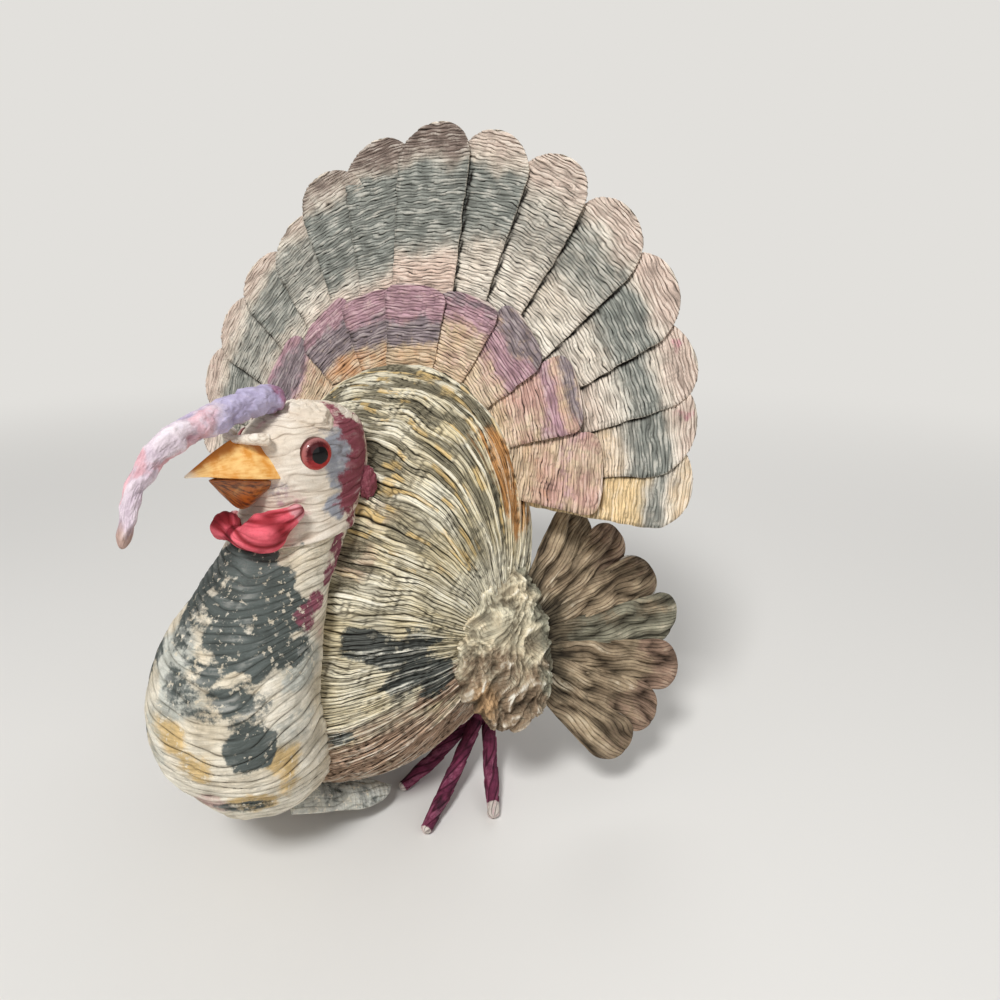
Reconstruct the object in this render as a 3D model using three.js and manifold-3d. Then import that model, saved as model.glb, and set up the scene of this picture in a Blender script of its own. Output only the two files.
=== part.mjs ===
// A strutting turkey figure for a holiday table: crepe paper feathers and strips over foam
// forms and paper-wrapped wire. Millimetres, +Z up. The bird stands on z = 0 and faces -Y,
// so its own left side is +X.
import * as THREE from "three";
import { mergeVertices } from "three/addons/utils/BufferGeometryUtils.js";
import Module from "manifold-3d";

const wasm = await Module();
wasm.setup();

const { degToRad, lerp, clamp, smoothstep } = THREE.MathUtils;
const point = (x, y, z) => new THREE.Vector3(x, y, z);

// Fits
const glueGap = 0.3; // left between two pieces that are glued or pushed together

// Body: a foam egg that swells and rises towards the tail, under a wrap of paper strips
const bodyBack = 15; // its middle, behind the feet's front
const bodyUp = 61.6;
const bodyMiddle = point(0, bodyBack, bodyUp);
const bodyHalfLength = 48;
const bodyHalfHeight = 53;
const bodyHalfWidth = 46.6;
const bodyHeightGain = 0.5; // half height gained for each millimetre towards the tail
const bodyWidthGain = 0.3;
const bodyAxisRise = 0.55; // the egg's axis climbs this much for each millimetre
const bodySquareness = 2.3; // 2 is an ellipsoid, more is boxier
const wrapThickness = 3;

// Breast and neck: one stuffed pear, bent forward out of the body
const neckTopForward = 10;
const neckTopUp = 105;
const neckForward = 18;
const neckUp = 92;
const cropForward = 31;
const cropUp = 77;
const breastForward = 39.5;
const breastUp = 58;
const breastLowForward = 38;
const breastLowUp = 41.5;
const neckTop = point(0, -neckTopForward, neckTopUp);
const neckMiddle = point(0, -neckForward, neckUp);
const cropMiddle = point(0, -cropForward, cropUp);
const breastMiddle = point(0, -breastForward, breastUp);
const breastLow = point(0, -breastLowForward, breastLowUp);
const neckRadius = 15.2;
const breastRadius = 24.5;
const keelBack = 8; // the breast's lowest point lies this far behind its fullest one

// Head
const headForward = 7;
const headUp = 116;
const headMiddle = point(0, -headForward, headUp);
const headHalfWidth = 14.5;
const headHalfLength = 21;
const headHalfHeight = 15.5;
const headSquareness = 2.4;

// Neck wire: holds the head, the breast and the body in a row
const neckWireRadius = 1.6;
const neckWireInBody = 34; // how far it runs back into the foam, behind the breast's middle

// Beak: two painted halves with a slightly open mouth
const beakLength = 20.5;
const beakHalfWidth = 8.5;
const beakHeight = 13;
const beakRidge = 12; // the ridge's start above the head's middle
const lowerBeakLength = 12;
const lowerBeakHeight = 8;
const mouthGap = 0.6;
const mouthRise = 5; // from the mouth's corner to the upper tip

// Eyes: glass domes on a post that is pushed into the foam
const eyeRadius = 4.5;
const eyeDome = 2.6; // how far the dome stands out of its rim
const eyeRim = 1.2;
const eyePostRadius = 1;
const eyePostLength = 7;
const eyeForward = 9; // from the head's middle
const eyeUp = 4.5;
const eyeTurn = 18; // degrees that the gaze turns forward

// Snood: paper twisted round a wire, arching over the beak
const snoodRootRadius = 4.6;
const snoodTipRadius = 1.7;
const snoodForward = 11; // its root, from the head's middle
const snoodStandOff = 4.2; // its root's centre above the head's surface
const snoodArch = [
  point(0, -8.5, 0.4),
  point(0, -21.5, -2.2),
  point(0, -33.5, -5),
  point(0, -42.5, -12.5),
  point(0, -48.5, -26),
]; // from the root's centre

// Wattle: one pinched paper strip with a lobe on each side of the throat
const wattleLobeRadius = 5.2;
const wattlePinchRadius = 2.6;
const wattleEndRadius = 2.2;
const wattleHalfSpread = 7.2; // from the throat's middle to a lobe's middle
const wattleDrop = 14; // below the head's middle
const wattleForward = 24.5;
const cheekOut = 6; // the strip's ends, from the lobes' middles
const cheekBack = 8;
const cheekUp = 6;

// Tail: a half-round board in a slit of the body, with a long row and a short row of feathers
const tailBack = 43;
const tailUp = 105;
const tailPivot = point(0, tailBack, tailUp);
const tailLean = 13.4; // degrees back from upright
const tailPerSide = 7;
const tailStep = 12.7; // degrees between feathers
const tailReach = 110; // pivot to tip at the top
const tailSideReach = 101;
const tailRoot = 36; // pivot to root
const tailTipWidth = 26.5;
const tailRootWidth = 8.2;
const tailTipRound = 11; // length of the rounded end
const paperThickness = 0.6;
const tailShingle = 4; // degrees of roll, so that each feather laps over the next

const covertPerSide = 4;
const covertStep = 22;
const covertReach = 56;
const covertSideReach = 73;
const covertRoot = 27;
const covertTipWidth = 24;
const covertRootWidth = 9.6;
const covertTipRound = 7;

const boardRadius = 58;
const boardThickness = 2;
const boardTabDepth = 26; // below the pivot, inside the body
const boardTabHalfWidth = 28;

// Wings: seven feathers out of a crumpled pad on each flank
const wingPerSide = 7;
const wingBack = 4; // the shoulder, behind the body's middle
const wingDrop = 6.6; // and below it
const wingSeat = 2.4; // its centre outside the flank
const wingSplay = 38.7; // degrees out from straight back
const wingFlare = 26.6; // degrees that the lower edge swings out
const wingFirst = -45; // degrees from level, down is positive
const wingStep = 15.4;
const wingReach = 54;
const wingMiddleReach = 66;
const wingRoot = 14;
const wingTipWidth = 19;
const wingRootWidth = 3.2;
const wingTipRound = 8;
const wingShingle = 6; // degrees of roll, upper feathers over lower ones
const padHalfThickness = 8;
const padHalfLength = 16;
const padHalfHeight = 24;
const padSquareness = 2.2;
const padCrumple = 0.09; // share of the thickness that its folds rise and fall

// Legs and toes: wire wrapped in paper
const legRadius = 3.3;
const legInset = 15.6; // a leg, inside the body's half width
const legBehind = 18; // and behind the body's middle
const legSpread = bodyHalfWidth - legInset;
const legBack = bodyBack + legBehind;
const legTop = 42;
const ankleHeight = 5.5;
const toeRadius = 3;
const toeTipRadius = 2;
const toeSink = 0.4; // flattened where it stands
const innerToeIn = 11; // the tips, from the leg
const innerToeForward = 29;
const middleToeOut = 9.5;
const middleToeForward = 41;
const outerToeOut = 22.5;
const outerToeForward = 26;
const toeTips = {
  inner: point(legSpread - innerToeIn, legBack - innerToeForward, 0),
  middle: point(legSpread + middleToeOut, legBack - middleToeForward, 0),
  outer: point(legSpread + outerToeOut, legBack - outerToeForward, 0),
};

// Finishes
const finish = (color, roughness, metalness = 0) =>
  new THREE.MeshStandardMaterial({ color, roughness, metalness });
const strawPaper = finish(0xd8cba6, 0.85);
const creamPaper = finish(0xe6dfcd, 0.85);
const slatePaper = finish(0x6f7470, 0.85);
const featherPaper = finish(0xb9aa9c, 0.85);
const covertPaper = finish(0x8a6480, 0.85);
const wingPaper = finish(0x9a8876, 0.85);
const snoodPaper = finish(0xc3aac4, 0.8);
const wattlePaper = finish(0xc83f63, 0.75);
const toePaper = finish(0x6a2347, 0.8);
const amberPaint = finish(0xd9962f, 0.3);
const eyeGlass = finish(0xa8261c, 0.08);
const foam = finish(0xf2f2ee, 0.9);
const board = finish(0xa98a63, 0.9);
const wire = finish(0x8f9091, 0.4, 1);

const figure = new THREE.Group();

// Solids and meshes

function toSolid(geometry) {
  geometry.deleteAttribute("normal");
  geometry.deleteAttribute("uv");
  const merged = mergeVertices(geometry, 1e-4);
  return new wasm.Manifold(
    new wasm.Mesh({
      numProp: 3,
      vertProperties: new Float32Array(merged.getAttribute("position").array),
      triVerts: new Uint32Array(merged.index.array),
    }),
  );
}

function toGeometry(solid) {
  const { vertProperties, triVerts } = solid.getMesh();
  const geometry = new THREE.BufferGeometry();
  geometry.setAttribute("position", new THREE.BufferAttribute(vertProperties, 3));
  geometry.setIndex(new THREE.BufferAttribute(triVerts, 1));
  geometry.computeVertexNormals();
  return geometry;
}

// The largest piece of a solid, so that a cut leaves no crumbs.
function largest(solid) {
  return solid.decompose().reduce((a, b) => (b.volume() > a.volume() ? b : a));
}

// Adds a named mesh to a parent. The cutters are solids in the figure's own frame.
function addPart(name, solid, material, { parent = figure, place, cutters = [] } = {}) {
  const mesh = new THREE.Mesh(new THREE.BufferGeometry(), material);
  mesh.name = name;
  place?.(mesh);
  parent.add(mesh);
  figure.updateMatrixWorld(true);
  const toLocal = mesh.matrixWorld.clone().invert().elements;
  const cut = cutters.reduce((rest, cutter) => rest.subtract(cutter.transform(toLocal)), solid);
  mesh.geometry = toGeometry(largest(cut));
  return mesh;
}

// Shapes

// A closed mesh from rings of equally many points, each ring turning right-handed about the way on.
function loft(rings) {
  const sides = rings[0].length;
  const corners = rings.flat();
  const faces = [];
  for (let ring = 0; ring + 1 < rings.length; ring++) {
    for (let side = 0; side < sides; side++) {
      const next = (side + 1) % sides;
      const [a, b] = [ring * sides + side, ring * sides + next];
      faces.push(a, b, b + sides, a, b + sides, a + sides);
    }
  }
  const capEnds = [
    [0, true],
    [rings.length - 1, false],
  ];
  for (const [ring, isStart] of capEnds) {
    const middle = corners.length;
    corners.push(rings[ring].reduce((sum, p) => sum.add(p), point(0, 0, 0)).divideScalar(sides));
    for (let side = 0; side < sides; side++) {
      const [a, b] = [ring * sides + side, ring * sides + ((side + 1) % sides)];
      faces.push(middle, ...(isStart ? [b, a] : [a, b]));
    }
  }
  const geometry = new THREE.BufferGeometry().setFromPoints(corners);
  geometry.setIndex(faces);
  return toSolid(geometry);
}

// A round bar along a curve. Its stations crowd towards the ends, where the radius may close.
function sweep(curve, radiusAt, { sides = 10, steps = 14, across = point(1, 0, 0) } = {}) {
  const length = curve.getLength();
  const rings = [];
  for (let step = 0; step <= steps; step++) {
    const share = (1 - Math.cos((Math.PI * step) / steps)) / 2;
    const middle = curve.getPointAt(share);
    const way = curve.getTangentAt(share);
    const side = across.clone().addScaledVector(way, -across.dot(way)).normalize();
    const up = way.clone().cross(side);
    const radius = radiusAt(share, share * length, length);
    rings.push(
      Array.from({ length: sides }, (_, corner) => {
        const angle = (2 * Math.PI * corner) / sides;
        return middle
          .clone()
          .addScaledVector(side, radius * Math.cos(angle))
          .addScaledVector(up, radius * Math.sin(angle));
      }),
    );
  }
  return loft(rings);
}

// 1 along a bar and falling to a round end within reach of it.
function roundEnd(distance, reach) {
  const least = 0.04; // keeps the last ring open
  return Math.max(least, Math.sqrt(1 - clamp(1 - distance / reach, 0, 1) ** 2));
}

// A sphere pressed onto |x/a|^n + |y/b|^n + |z/c|^n = 1, its poles on Y, then bent by an optional warp.
function blob(half, squareness, { around = 18, along = 12, warp } = {}) {
  const geometry = new THREE.SphereGeometry(1, around, along);
  const position = geometry.getAttribute("position");
  for (let index = 0; index < position.count; index++) {
    const p = point().fromBufferAttribute(position, index);
    const sum = [p.x, p.y, p.z].reduce((total, c) => total + Math.abs(c) ** squareness, 0);
    p.multiplyScalar(sum ** (-1 / squareness)).multiply(half);
    warp?.(p);
    position.setXYZ(index, p.x, p.y, p.z);
  }
  return toSolid(geometry);
}

// A flat feather along +Y from root to tip, width on X, facing +Z, with a rounded tip.
function feather({ root, reach, rootWidth, tipWidth, tipRound }) {
  const bevel = paperThickness / 2;
  const roundSteps = [0, 35, 62, 82];
  const straight = reach - tipRound;
  const bladeSteps = 2;
  const stations = [];
  for (let step = 0; step < bladeSteps; step++) {
    const share = step / bladeSteps;
    stations.push([lerp(root, straight, share), lerp(rootWidth, tipWidth, share)]);
  }
  for (const degrees of roundSteps) {
    const angle = degToRad(degrees);
    stations.push([straight + tipRound * Math.sin(angle), tipWidth * Math.cos(angle)]);
  }
  const rings = stations.map(([along, width]) => {
    const edge = width / 2;
    const face = edge - Math.min(bevel, edge / 2);
    return [
      [edge, 0],
      [face, -bevel],
      [-face, -bevel],
      [-edge, 0],
      [-face, bevel],
      [face, bevel],
    ].map(([x, z]) => point(x, along, z));
  });
  return loft(rings);
}

// Body

const bodyHalf = (grow) => point(bodyHalfWidth + grow, bodyHalfLength + grow, bodyHalfHeight + grow);

function bodySolid(grow = 0) {
  const egg = blob(bodyHalf(grow), bodySquareness, {
    around: 24,
    along: 14,
    warp: (p) => {
      p.x *= 1 + (bodyWidthGain * p.y) / bodyHalfWidth;
      p.z *= 1 + (bodyHeightGain * p.y) / bodyHalfHeight;
      p.z += bodyAxisRise * p.y;
    },
  });
  return egg.translate(bodyMiddle.toArray());
}

// Half the body's width on its axis, at a distance behind its middle.
function flankAt(back) {
  const level = (1 - Math.abs(back / bodyHalfLength) ** bodySquareness) ** (1 / bodySquareness);
  return level * (bodyHalfWidth + bodyWidthGain * back);
}

// Head, breast and what joins them

function headSolid(grow = 0) {
  const half = point(headHalfWidth + grow, headHalfLength + grow, headHalfHeight + grow);
  return blob(half, headSquareness).translate(headMiddle.toArray());
}

// How far the head's surface lies out along one axis, at offsets along the other two as shares.
function headOut(half, shareOne, shareTwo) {
  const used = Math.abs(shareOne) ** headSquareness + Math.abs(shareTwo) ** headSquareness;
  return half * (1 - used) ** (1 / headSquareness);
}

const keel = breastLow.clone().add(point(0, keelBack, -breastRadius));
const breastAxis = new THREE.CatmullRomCurve3([
  neckTop,
  neckMiddle,
  cropMiddle,
  breastMiddle,
  breastLow,
  keel,
]);

function breastSolid(grow = 0) {
  const swollenFrom = 0.12;
  const swollenTo = 0.5;
  const radius = (share, gone, length) =>
    lerp(neckRadius, breastRadius, smoothstep(share, swollenFrom, swollenTo)) *
      roundEnd(length - gone, breastRadius) +
    grow;
  return sweep(breastAxis, radius, { sides: 18, steps: 14 });
}

const neckWireAxis = new THREE.CatmullRomCurve3([
  headMiddle,
  neckTop,
  neckMiddle,
  cropMiddle,
  breastMiddle,
  point(0, breastMiddle.y + neckWireInBody / 2, breastMiddle.z),
  point(0, breastMiddle.y + neckWireInBody, breastMiddle.z),
]);
const neckWireSolid = (grow = 0) =>
  sweep(neckWireAxis, () => neckWireRadius + grow, { sides: 6, steps: 16 });

// Legs stand under the body, and their toes splay forward from the ankle

const legSolid = (side, grow = 0) =>
  sweep(
    new THREE.LineCurve3(
      point(side * legSpread, legBack, ankleHeight - toeRadius - grow),
      point(side * legSpread, legBack, legTop + grow),
    ),
    () => legRadius + grow,
    { sides: 12, steps: 3 },
  );

function toeSolid(side, tip, grow = 0) {
  const ankle = point(side * legSpread, legBack, ankleHeight);
  const standing = toeRadius - toeSink;
  const end = point(side * tip.x, tip.y, toeTipRadius - toeSink);
  const knuckle = ankle.clone().lerp(end, 0.35).setZ(standing);
  const joint = ankle.clone().lerp(end, 0.7).setZ(standing);
  const curve = new THREE.CatmullRomCurve3([ankle, knuckle, joint, end]);
  const radius = (share, gone, length) =>
    lerp(toeRadius, toeTipRadius, smoothstep(share, 0.6, 1)) * roundEnd(length - gone, toeTipRadius) + grow;
  return sweep(curve, radius, { sides: 8, steps: 8, across: point(0, 0, 1) });
}

const groundSize = 400;
const ground = toSolid(new THREE.BoxGeometry(groundSize, groundSize, groundSize)).translate([
  0,
  0,
  -groundSize / 2,
]);

// Tail group: its local Y runs up the fan and its local Z faces forward

const fan = new THREE.Group();
fan.position.copy(tailPivot);
fan.rotation.x = Math.PI / 2 - degToRad(tailLean);
figure.add(fan);
figure.updateMatrixWorld(true);

const rollLift = (width) => (width / 2) * Math.sin(degToRad(tailShingle)) + paperThickness / 2;
const covertLift = rollLift(tailTipWidth) + glueGap + rollLift(covertTipWidth);
const boardFront = -rollLift(tailTipWidth) - glueGap;

function boardSolid(grow = 0) {
  const outline = new THREE.Shape();
  const radius = boardRadius + grow;
  const tab = boardTabHalfWidth + grow;
  outline.moveTo(-tab, -boardTabDepth - grow);
  outline.lineTo(tab, -boardTabDepth - grow);
  outline.lineTo(tab, -grow);
  outline.lineTo(radius, -grow);
  outline.absarc(0, 0, radius, 0, Math.PI);
  outline.lineTo(-tab, -grow);
  const plate = new THREE.ExtrudeGeometry(outline, {
    depth: boardThickness + 2 * grow,
    bevelEnabled: false,
    curveSegments: 24,
  });
  return toSolid(plate).translate([0, 0, boardFront - boardThickness - grow]);
}
const boardSlit = boardSolid(glueGap).transform(fan.matrixWorld.elements);

// Body, breast and head as parts

const bothSides = [
  ["left", 1],
  ["right", -1],
];
const legHoles = bothSides.map(([, side]) => legSolid(side, glueGap));
const bodyHoles = [boardSlit, ...legHoles, neckWireSolid(glueGap)];

const wrapInside = bodySolid(-wrapThickness);
addPart("body_wrap", bodySolid().subtract(wrapInside), strawPaper, { cutters: bodyHoles });
addPart("body_core", bodySolid(-wrapThickness - glueGap), foam, { cutters: bodyHoles });
const bodyCutter = bodySolid(glueGap);

const headCutter = headSolid(glueGap);
const neckWireHole = neckWireSolid(glueGap);
addPart("breast", breastSolid(), slatePaper, { cutters: [bodyCutter, headCutter, neckWireHole] });
addPart("neck_wire", neckWireSolid(), wire);
const breastCutter = breastSolid(glueGap);

// Eyes: a dome on a rim, turned about its post. The post's axis is the lathe's Y.

function eyeSolid(grow = 0) {
  const profile = [
    [0, -eyePostLength - grow],
    [eyePostRadius + grow, -eyePostLength - grow],
    [eyePostRadius + grow, -eyeRim - grow],
    [eyeRadius + grow, -eyeRim - grow],
    [eyeRadius + grow, 0],
    [(eyeRadius + grow) * 0.8, eyeDome * 0.62],
    [(eyeRadius + grow) * 0.42, eyeDome * 0.92],
    [0, eyeDome + grow],
  ].map(([x, y]) => new THREE.Vector2(x, y));
  return toSolid(new THREE.LatheGeometry(profile, 16));
}

const eyeOut = headOut(headHalfWidth, eyeForward / headHalfLength, eyeUp / headHalfHeight);
const placeEye = (side) => (mesh) => {
  mesh.position.set(side * eyeOut, headMiddle.y - eyeForward, headMiddle.z + eyeUp);
  const gaze = degToRad(eyeTurn);
  const look = point(side * Math.cos(gaze), -Math.sin(gaze), 0);
  mesh.quaternion.setFromUnitVectors(point(0, 1, 0), look);
};
const eyes = bothSides.map(([name, side]) =>
  addPart(`${name}_eye`, eyeSolid(), eyeGlass, { place: placeEye(side) }),
);
const eyeSockets = eyes.map((eye) => eyeSolid(glueGap).transform(eye.matrixWorld.elements));

// Snood: its root is a ball in a shallow dimple of the forehead, so that the wire can bend there

const foreheadRise = headOut(headHalfHeight, 0, snoodForward / headHalfLength);
const snoodRoot = headMiddle.clone().add(point(0, -snoodForward, foreheadRise + snoodStandOff));
const snoodPoints = snoodArch.map((offset) => snoodRoot.clone().add(offset));
const rootWay = snoodPoints[0].clone().sub(snoodRoot).normalize();
const snoodAxis = new THREE.CatmullRomCurve3([
  snoodRoot.clone().addScaledVector(rootWay, -snoodRootRadius),
  snoodRoot,
  ...snoodPoints,
]);
const taperFrom = 0.35;
const snoodRadius = (share, gone, length) =>
  lerp(snoodRootRadius, snoodTipRadius, smoothstep(share, taperFrom, 1)) *
  roundEnd(gone, snoodRootRadius) *
  roundEnd(length - gone, snoodTipRadius);
addPart("snood", sweep(snoodAxis, snoodRadius, { sides: 10, steps: 20 }), snoodPaper);
const snoodDimple = toSolid(new THREE.SphereGeometry(snoodRootRadius + glueGap, 20, 12)).translate(
  snoodRoot.toArray(),
);

addPart("head", headSolid(), creamPaper, {
  cutters: [bodyCutter, ...eyeSockets, snoodDimple, neckWireHole],
});

// Beak: each half is a wedge whose section shrinks from the face to its tip

function wedge(baseY, length, section, tip) {
  const tipShare = 0.08;
  const shares = [0, 0.35, 0.7, 1];
  const rings = shares.map((share) => {
    const size = lerp(1, tipShare, share);
    return section.map(([x, z]) => point(x * size, baseY - length * share, tip * share + z * size));
  });
  return loft(rings);
}

const beakBase = headMiddle.y - headHalfLength * 0.8;
const faceDepth = headHalfLength * 0.2;
const mouthLevel = headMiddle.z + beakRidge - beakHeight;
const upperSection = [
  [beakHalfWidth, 0],
  [beakHalfWidth * 0.55, beakHeight * 0.72],
  [0, beakHeight],
  [-beakHalfWidth * 0.55, beakHeight * 0.72],
  [-beakHalfWidth, 0],
  [0, beakHeight * 0.12],
];
const lowerBeakSolid = (grow = 0) => {
  const half = beakHalfWidth * 0.8;
  const section = [
    [half, 0],
    [0, -lowerBeakHeight * 0.1],
    [-half, 0],
    [-half / 2, -lowerBeakHeight * 0.75],
    [0, -lowerBeakHeight],
    [half / 2, -lowerBeakHeight * 0.75],
  ].map(([x, z]) => [x + Math.sign(x) * grow, z + Math.sign(z + lowerBeakHeight / 2) * grow]);
  const length = lowerBeakLength + faceDepth;
  const rise = (mouthRise * length) / (beakLength + faceDepth);
  const solid = wedge(beakBase, length + grow, section, rise);
  return solid.translate([0, 0, mouthLevel - mouthGap]);
};
const upperBeakSolid = wedge(beakBase, beakLength + faceDepth, upperSection, mouthRise).translate([
  0,
  0,
  mouthLevel,
]);
addPart("upper_beak", upperBeakSolid, amberPaint, { cutters: [headCutter] });
addPart("lower_beak", lowerBeakSolid(), amberPaint, { cutters: [headCutter, breastCutter] });

// Wattle: a thick strip from one cheek under the throat to the other

const wattleZ = headMiddle.z - wattleDrop;
const wattleY = headMiddle.y - wattleForward;
const wattleHalf = (side) => [
  point(side * (wattleHalfSpread + cheekOut), wattleY + cheekBack, wattleZ + cheekUp),
  point(side * wattleHalfSpread, wattleY, wattleZ),
];
const wattleAxis = new THREE.CatmullRomCurve3([
  ...wattleHalf(-1),
  point(0, wattleY - wattlePinchRadius, wattleZ - 1),
  ...wattleHalf(1).reverse(),
]);
function wattleRadius(share) {
  const lobe = Math.sin(Math.PI * clamp(2 * Math.abs(share - 0.5), 0, 1));
  const thin = lerp(wattlePinchRadius, wattleEndRadius, Math.abs(share - 0.5) * 2);
  return lerp(thin, wattleLobeRadius, lobe);
}
const wattleSolid = sweep(wattleAxis, wattleRadius, { sides: 10, steps: 16, across: point(0, 0, 1) });
addPart("wattle", wattleSolid, wattlePaper, {
  cutters: [headCutter, breastCutter, lowerBeakSolid(glueGap)],
});

// Tail feathers and coverts: the middle one lies on top, and each next one tucks under the last

addPart("tail_board", boardSolid(), board, { parent: fan });

function addRow(name, perSide, step, lift, shape, material) {
  for (let index = -perSide; index <= perSide; index++) {
    const side = Math.sign(index);
    const angle = degToRad(index * step);
    const label = index === 0 ? "center" : `${side > 0 ? "left" : "right"}_${Math.abs(index)}`;
    const topLift = index === 0 ? rollLift(shape.tipWidth) - paperThickness / 2 : 0;
    const reach = lerp(shape.sideReach, shape.reach, Math.cos(angle));
    addPart(`${name}_${label}`, feather({ ...shape, reach }), material, {
      parent: fan,
      place: (mesh) => {
        mesh.position.z = lift + topLift;
        mesh.rotation.set(0, -side * degToRad(tailShingle), -angle, "ZYX");
      },
      cutters: [bodyCutter],
    });
  }
}

addRow(
  "tail_feather",
  tailPerSide,
  tailStep,
  0,
  {
    root: tailRoot,
    reach: tailReach,
    sideReach: tailSideReach,
    rootWidth: tailRootWidth,
    tipWidth: tailTipWidth,
    tipRound: tailTipRound,
  },
  featherPaper,
);
addRow(
  "tail_covert",
  covertPerSide,
  covertStep,
  covertLift,
  {
    root: covertRoot,
    reach: covertReach,
    sideReach: covertSideReach,
    rootWidth: covertRootWidth,
    tipWidth: covertTipWidth,
    tipRound: covertTipRound,
  },
  covertPaper,
);

// Wings: a group on each flank. Its local Y runs back along the wing and its local Z faces out.

function crumple(p) {
  const folds = Math.sin(0.55 * p.x + 0.4 * p.y) + Math.sin(0.5 * p.y - 0.35 * p.x + 1);
  p.z *= 1 + padCrumple * folds;
}
function padSolid(grow = 0) {
  const half = point(padHalfHeight + grow, padHalfLength + grow, padHalfThickness + grow);
  return blob(half, padSquareness, { around: 16, warp: crumple });
}

for (const [name, side] of bothSides) {
  const flank = new THREE.Group();
  flank.scale.x = side;
  figure.add(flank);
  const wing = new THREE.Group();
  wing.position.set(flankAt(wingBack) + wingSeat, bodyMiddle.y + wingBack, bodyMiddle.z - wingDrop);
  const splay = degToRad(wingSplay);
  const flare = degToRad(wingFlare);
  const back = point(Math.sin(splay), Math.cos(splay), 0);
  const level = point(Math.cos(splay), -Math.sin(splay), 0);
  const down = level.clone().multiplyScalar(Math.sin(flare)).setZ(-Math.cos(flare));
  const out = down.clone().cross(back);
  wing.quaternion.setFromRotationMatrix(new THREE.Matrix4().makeBasis(down, back, out));
  flank.add(wing);

  const pad = addPart(`${name}_wing_pad`, padSolid(), creamPaper, {
    parent: wing,
    cutters: [bodyCutter],
  });
  const padCutter = padSolid(glueGap).transform(pad.matrixWorld.elements);
  for (let index = 0; index < wingPerSide; index++) {
    const angle = degToRad(wingFirst + wingStep * index);
    const middle = degToRad(wingFirst + (wingStep * wingPerSide) / 2);
    const reach = lerp(wingReach, wingMiddleReach, Math.cos(2 * (angle - middle)) / 2 + 0.5);
    const blade = feather({
      root: wingRoot,
      reach,
      rootWidth: wingRootWidth,
      tipWidth: wingTipWidth,
      tipRound: wingTipRound,
    });
    addPart(`${name}_wing_feather_${index + 1}`, blade, wingPaper, {
      parent: wing,
      place: (mesh) => mesh.rotation.set(0, -degToRad(wingShingle), -angle, "ZYX"),
      cutters: [padCutter, bodyCutter],
    });
  }
}

// Legs and toes

bothSides.forEach(([name, side], index) => {
  addPart(`${name}_leg`, legSolid(side), toePaper, { cutters: [ground] });
  const middleToe = toeSolid(side, toeTips.middle, glueGap);
  for (const [toe, tip] of Object.entries(toeTips)) {
    const beside = toe === "middle" ? [] : [middleToe];
    addPart(`${name}_toe_${toe}`, toeSolid(side, tip), toePaper, {
      cutters: [ground, legHoles[index], ...beside],
    });
  }
});

// The origin lies on the ground under the middle of the figure's box

const box = new THREE.Box3().setFromObject(figure, true);
figure.position.set(-(box.min.x + box.max.x) / 2, -(box.min.y + box.max.y) / 2, -box.min.z);

export default figure;
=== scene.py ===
import bpy
import numpy as np
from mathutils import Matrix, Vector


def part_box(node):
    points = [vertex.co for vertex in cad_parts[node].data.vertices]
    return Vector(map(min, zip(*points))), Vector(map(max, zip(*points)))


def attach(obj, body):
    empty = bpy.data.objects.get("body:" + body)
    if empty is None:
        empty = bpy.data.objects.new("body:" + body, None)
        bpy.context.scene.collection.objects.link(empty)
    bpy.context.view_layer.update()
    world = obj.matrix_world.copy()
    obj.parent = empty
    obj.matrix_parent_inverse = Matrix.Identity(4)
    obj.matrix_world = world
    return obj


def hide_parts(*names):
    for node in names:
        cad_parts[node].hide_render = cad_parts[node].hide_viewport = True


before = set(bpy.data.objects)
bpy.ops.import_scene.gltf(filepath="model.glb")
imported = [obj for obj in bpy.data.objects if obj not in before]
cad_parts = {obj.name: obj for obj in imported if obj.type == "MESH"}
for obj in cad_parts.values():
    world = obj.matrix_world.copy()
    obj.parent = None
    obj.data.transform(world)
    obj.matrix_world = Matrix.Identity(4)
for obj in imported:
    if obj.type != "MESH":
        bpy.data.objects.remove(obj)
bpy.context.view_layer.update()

# Shapes are worked out in millimetres, with y counted back from the middle of the body
perMm = 0.001
bodyLow, bodyHigh = (np.array(corner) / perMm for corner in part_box("body_wrap"))
midY = (bodyLow[1] + bodyHigh[1]) / 2
sides = {"left": 1, "right": -1}
print("frame loaded, the body's middle is at y =", round(midY, 3), "mm")


# Number helpers

def paint(red, green, blue):
    # a colour as it looks, 0 to 255, turned into the linear values that shaders take
    share = np.array([red, green, blue]) / 255
    linear = np.where(share <= 0.04045, share / 12.92, ((share + 0.055) / 1.055) ** 2.4)
    return (*linear.tolist(), 1.0)


def ease(low, high, value):
    # smooth step: 0 below low, 1 above high, 3t^2 - 2t^3 between them
    t = np.clip((value - low) / (high - low), 0, 1)
    return t * t * (3 - 2 * t)


def corner(ix, iy, seed):
    # integer mixing: products and shifts give each lattice corner a fixed value from 0 to 1
    n = ix.astype(np.int64) * 374761393 + iy.astype(np.int64) * 668265263 + seed * 974634777
    n = n & 0xFFFFFFFF
    n = ((n ^ (n >> 13)) * 1274126177) & 0xFFFFFFFF
    return ((n ^ (n >> 16)) & 0xFFFFFF) / 0xFFFFFF


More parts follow.
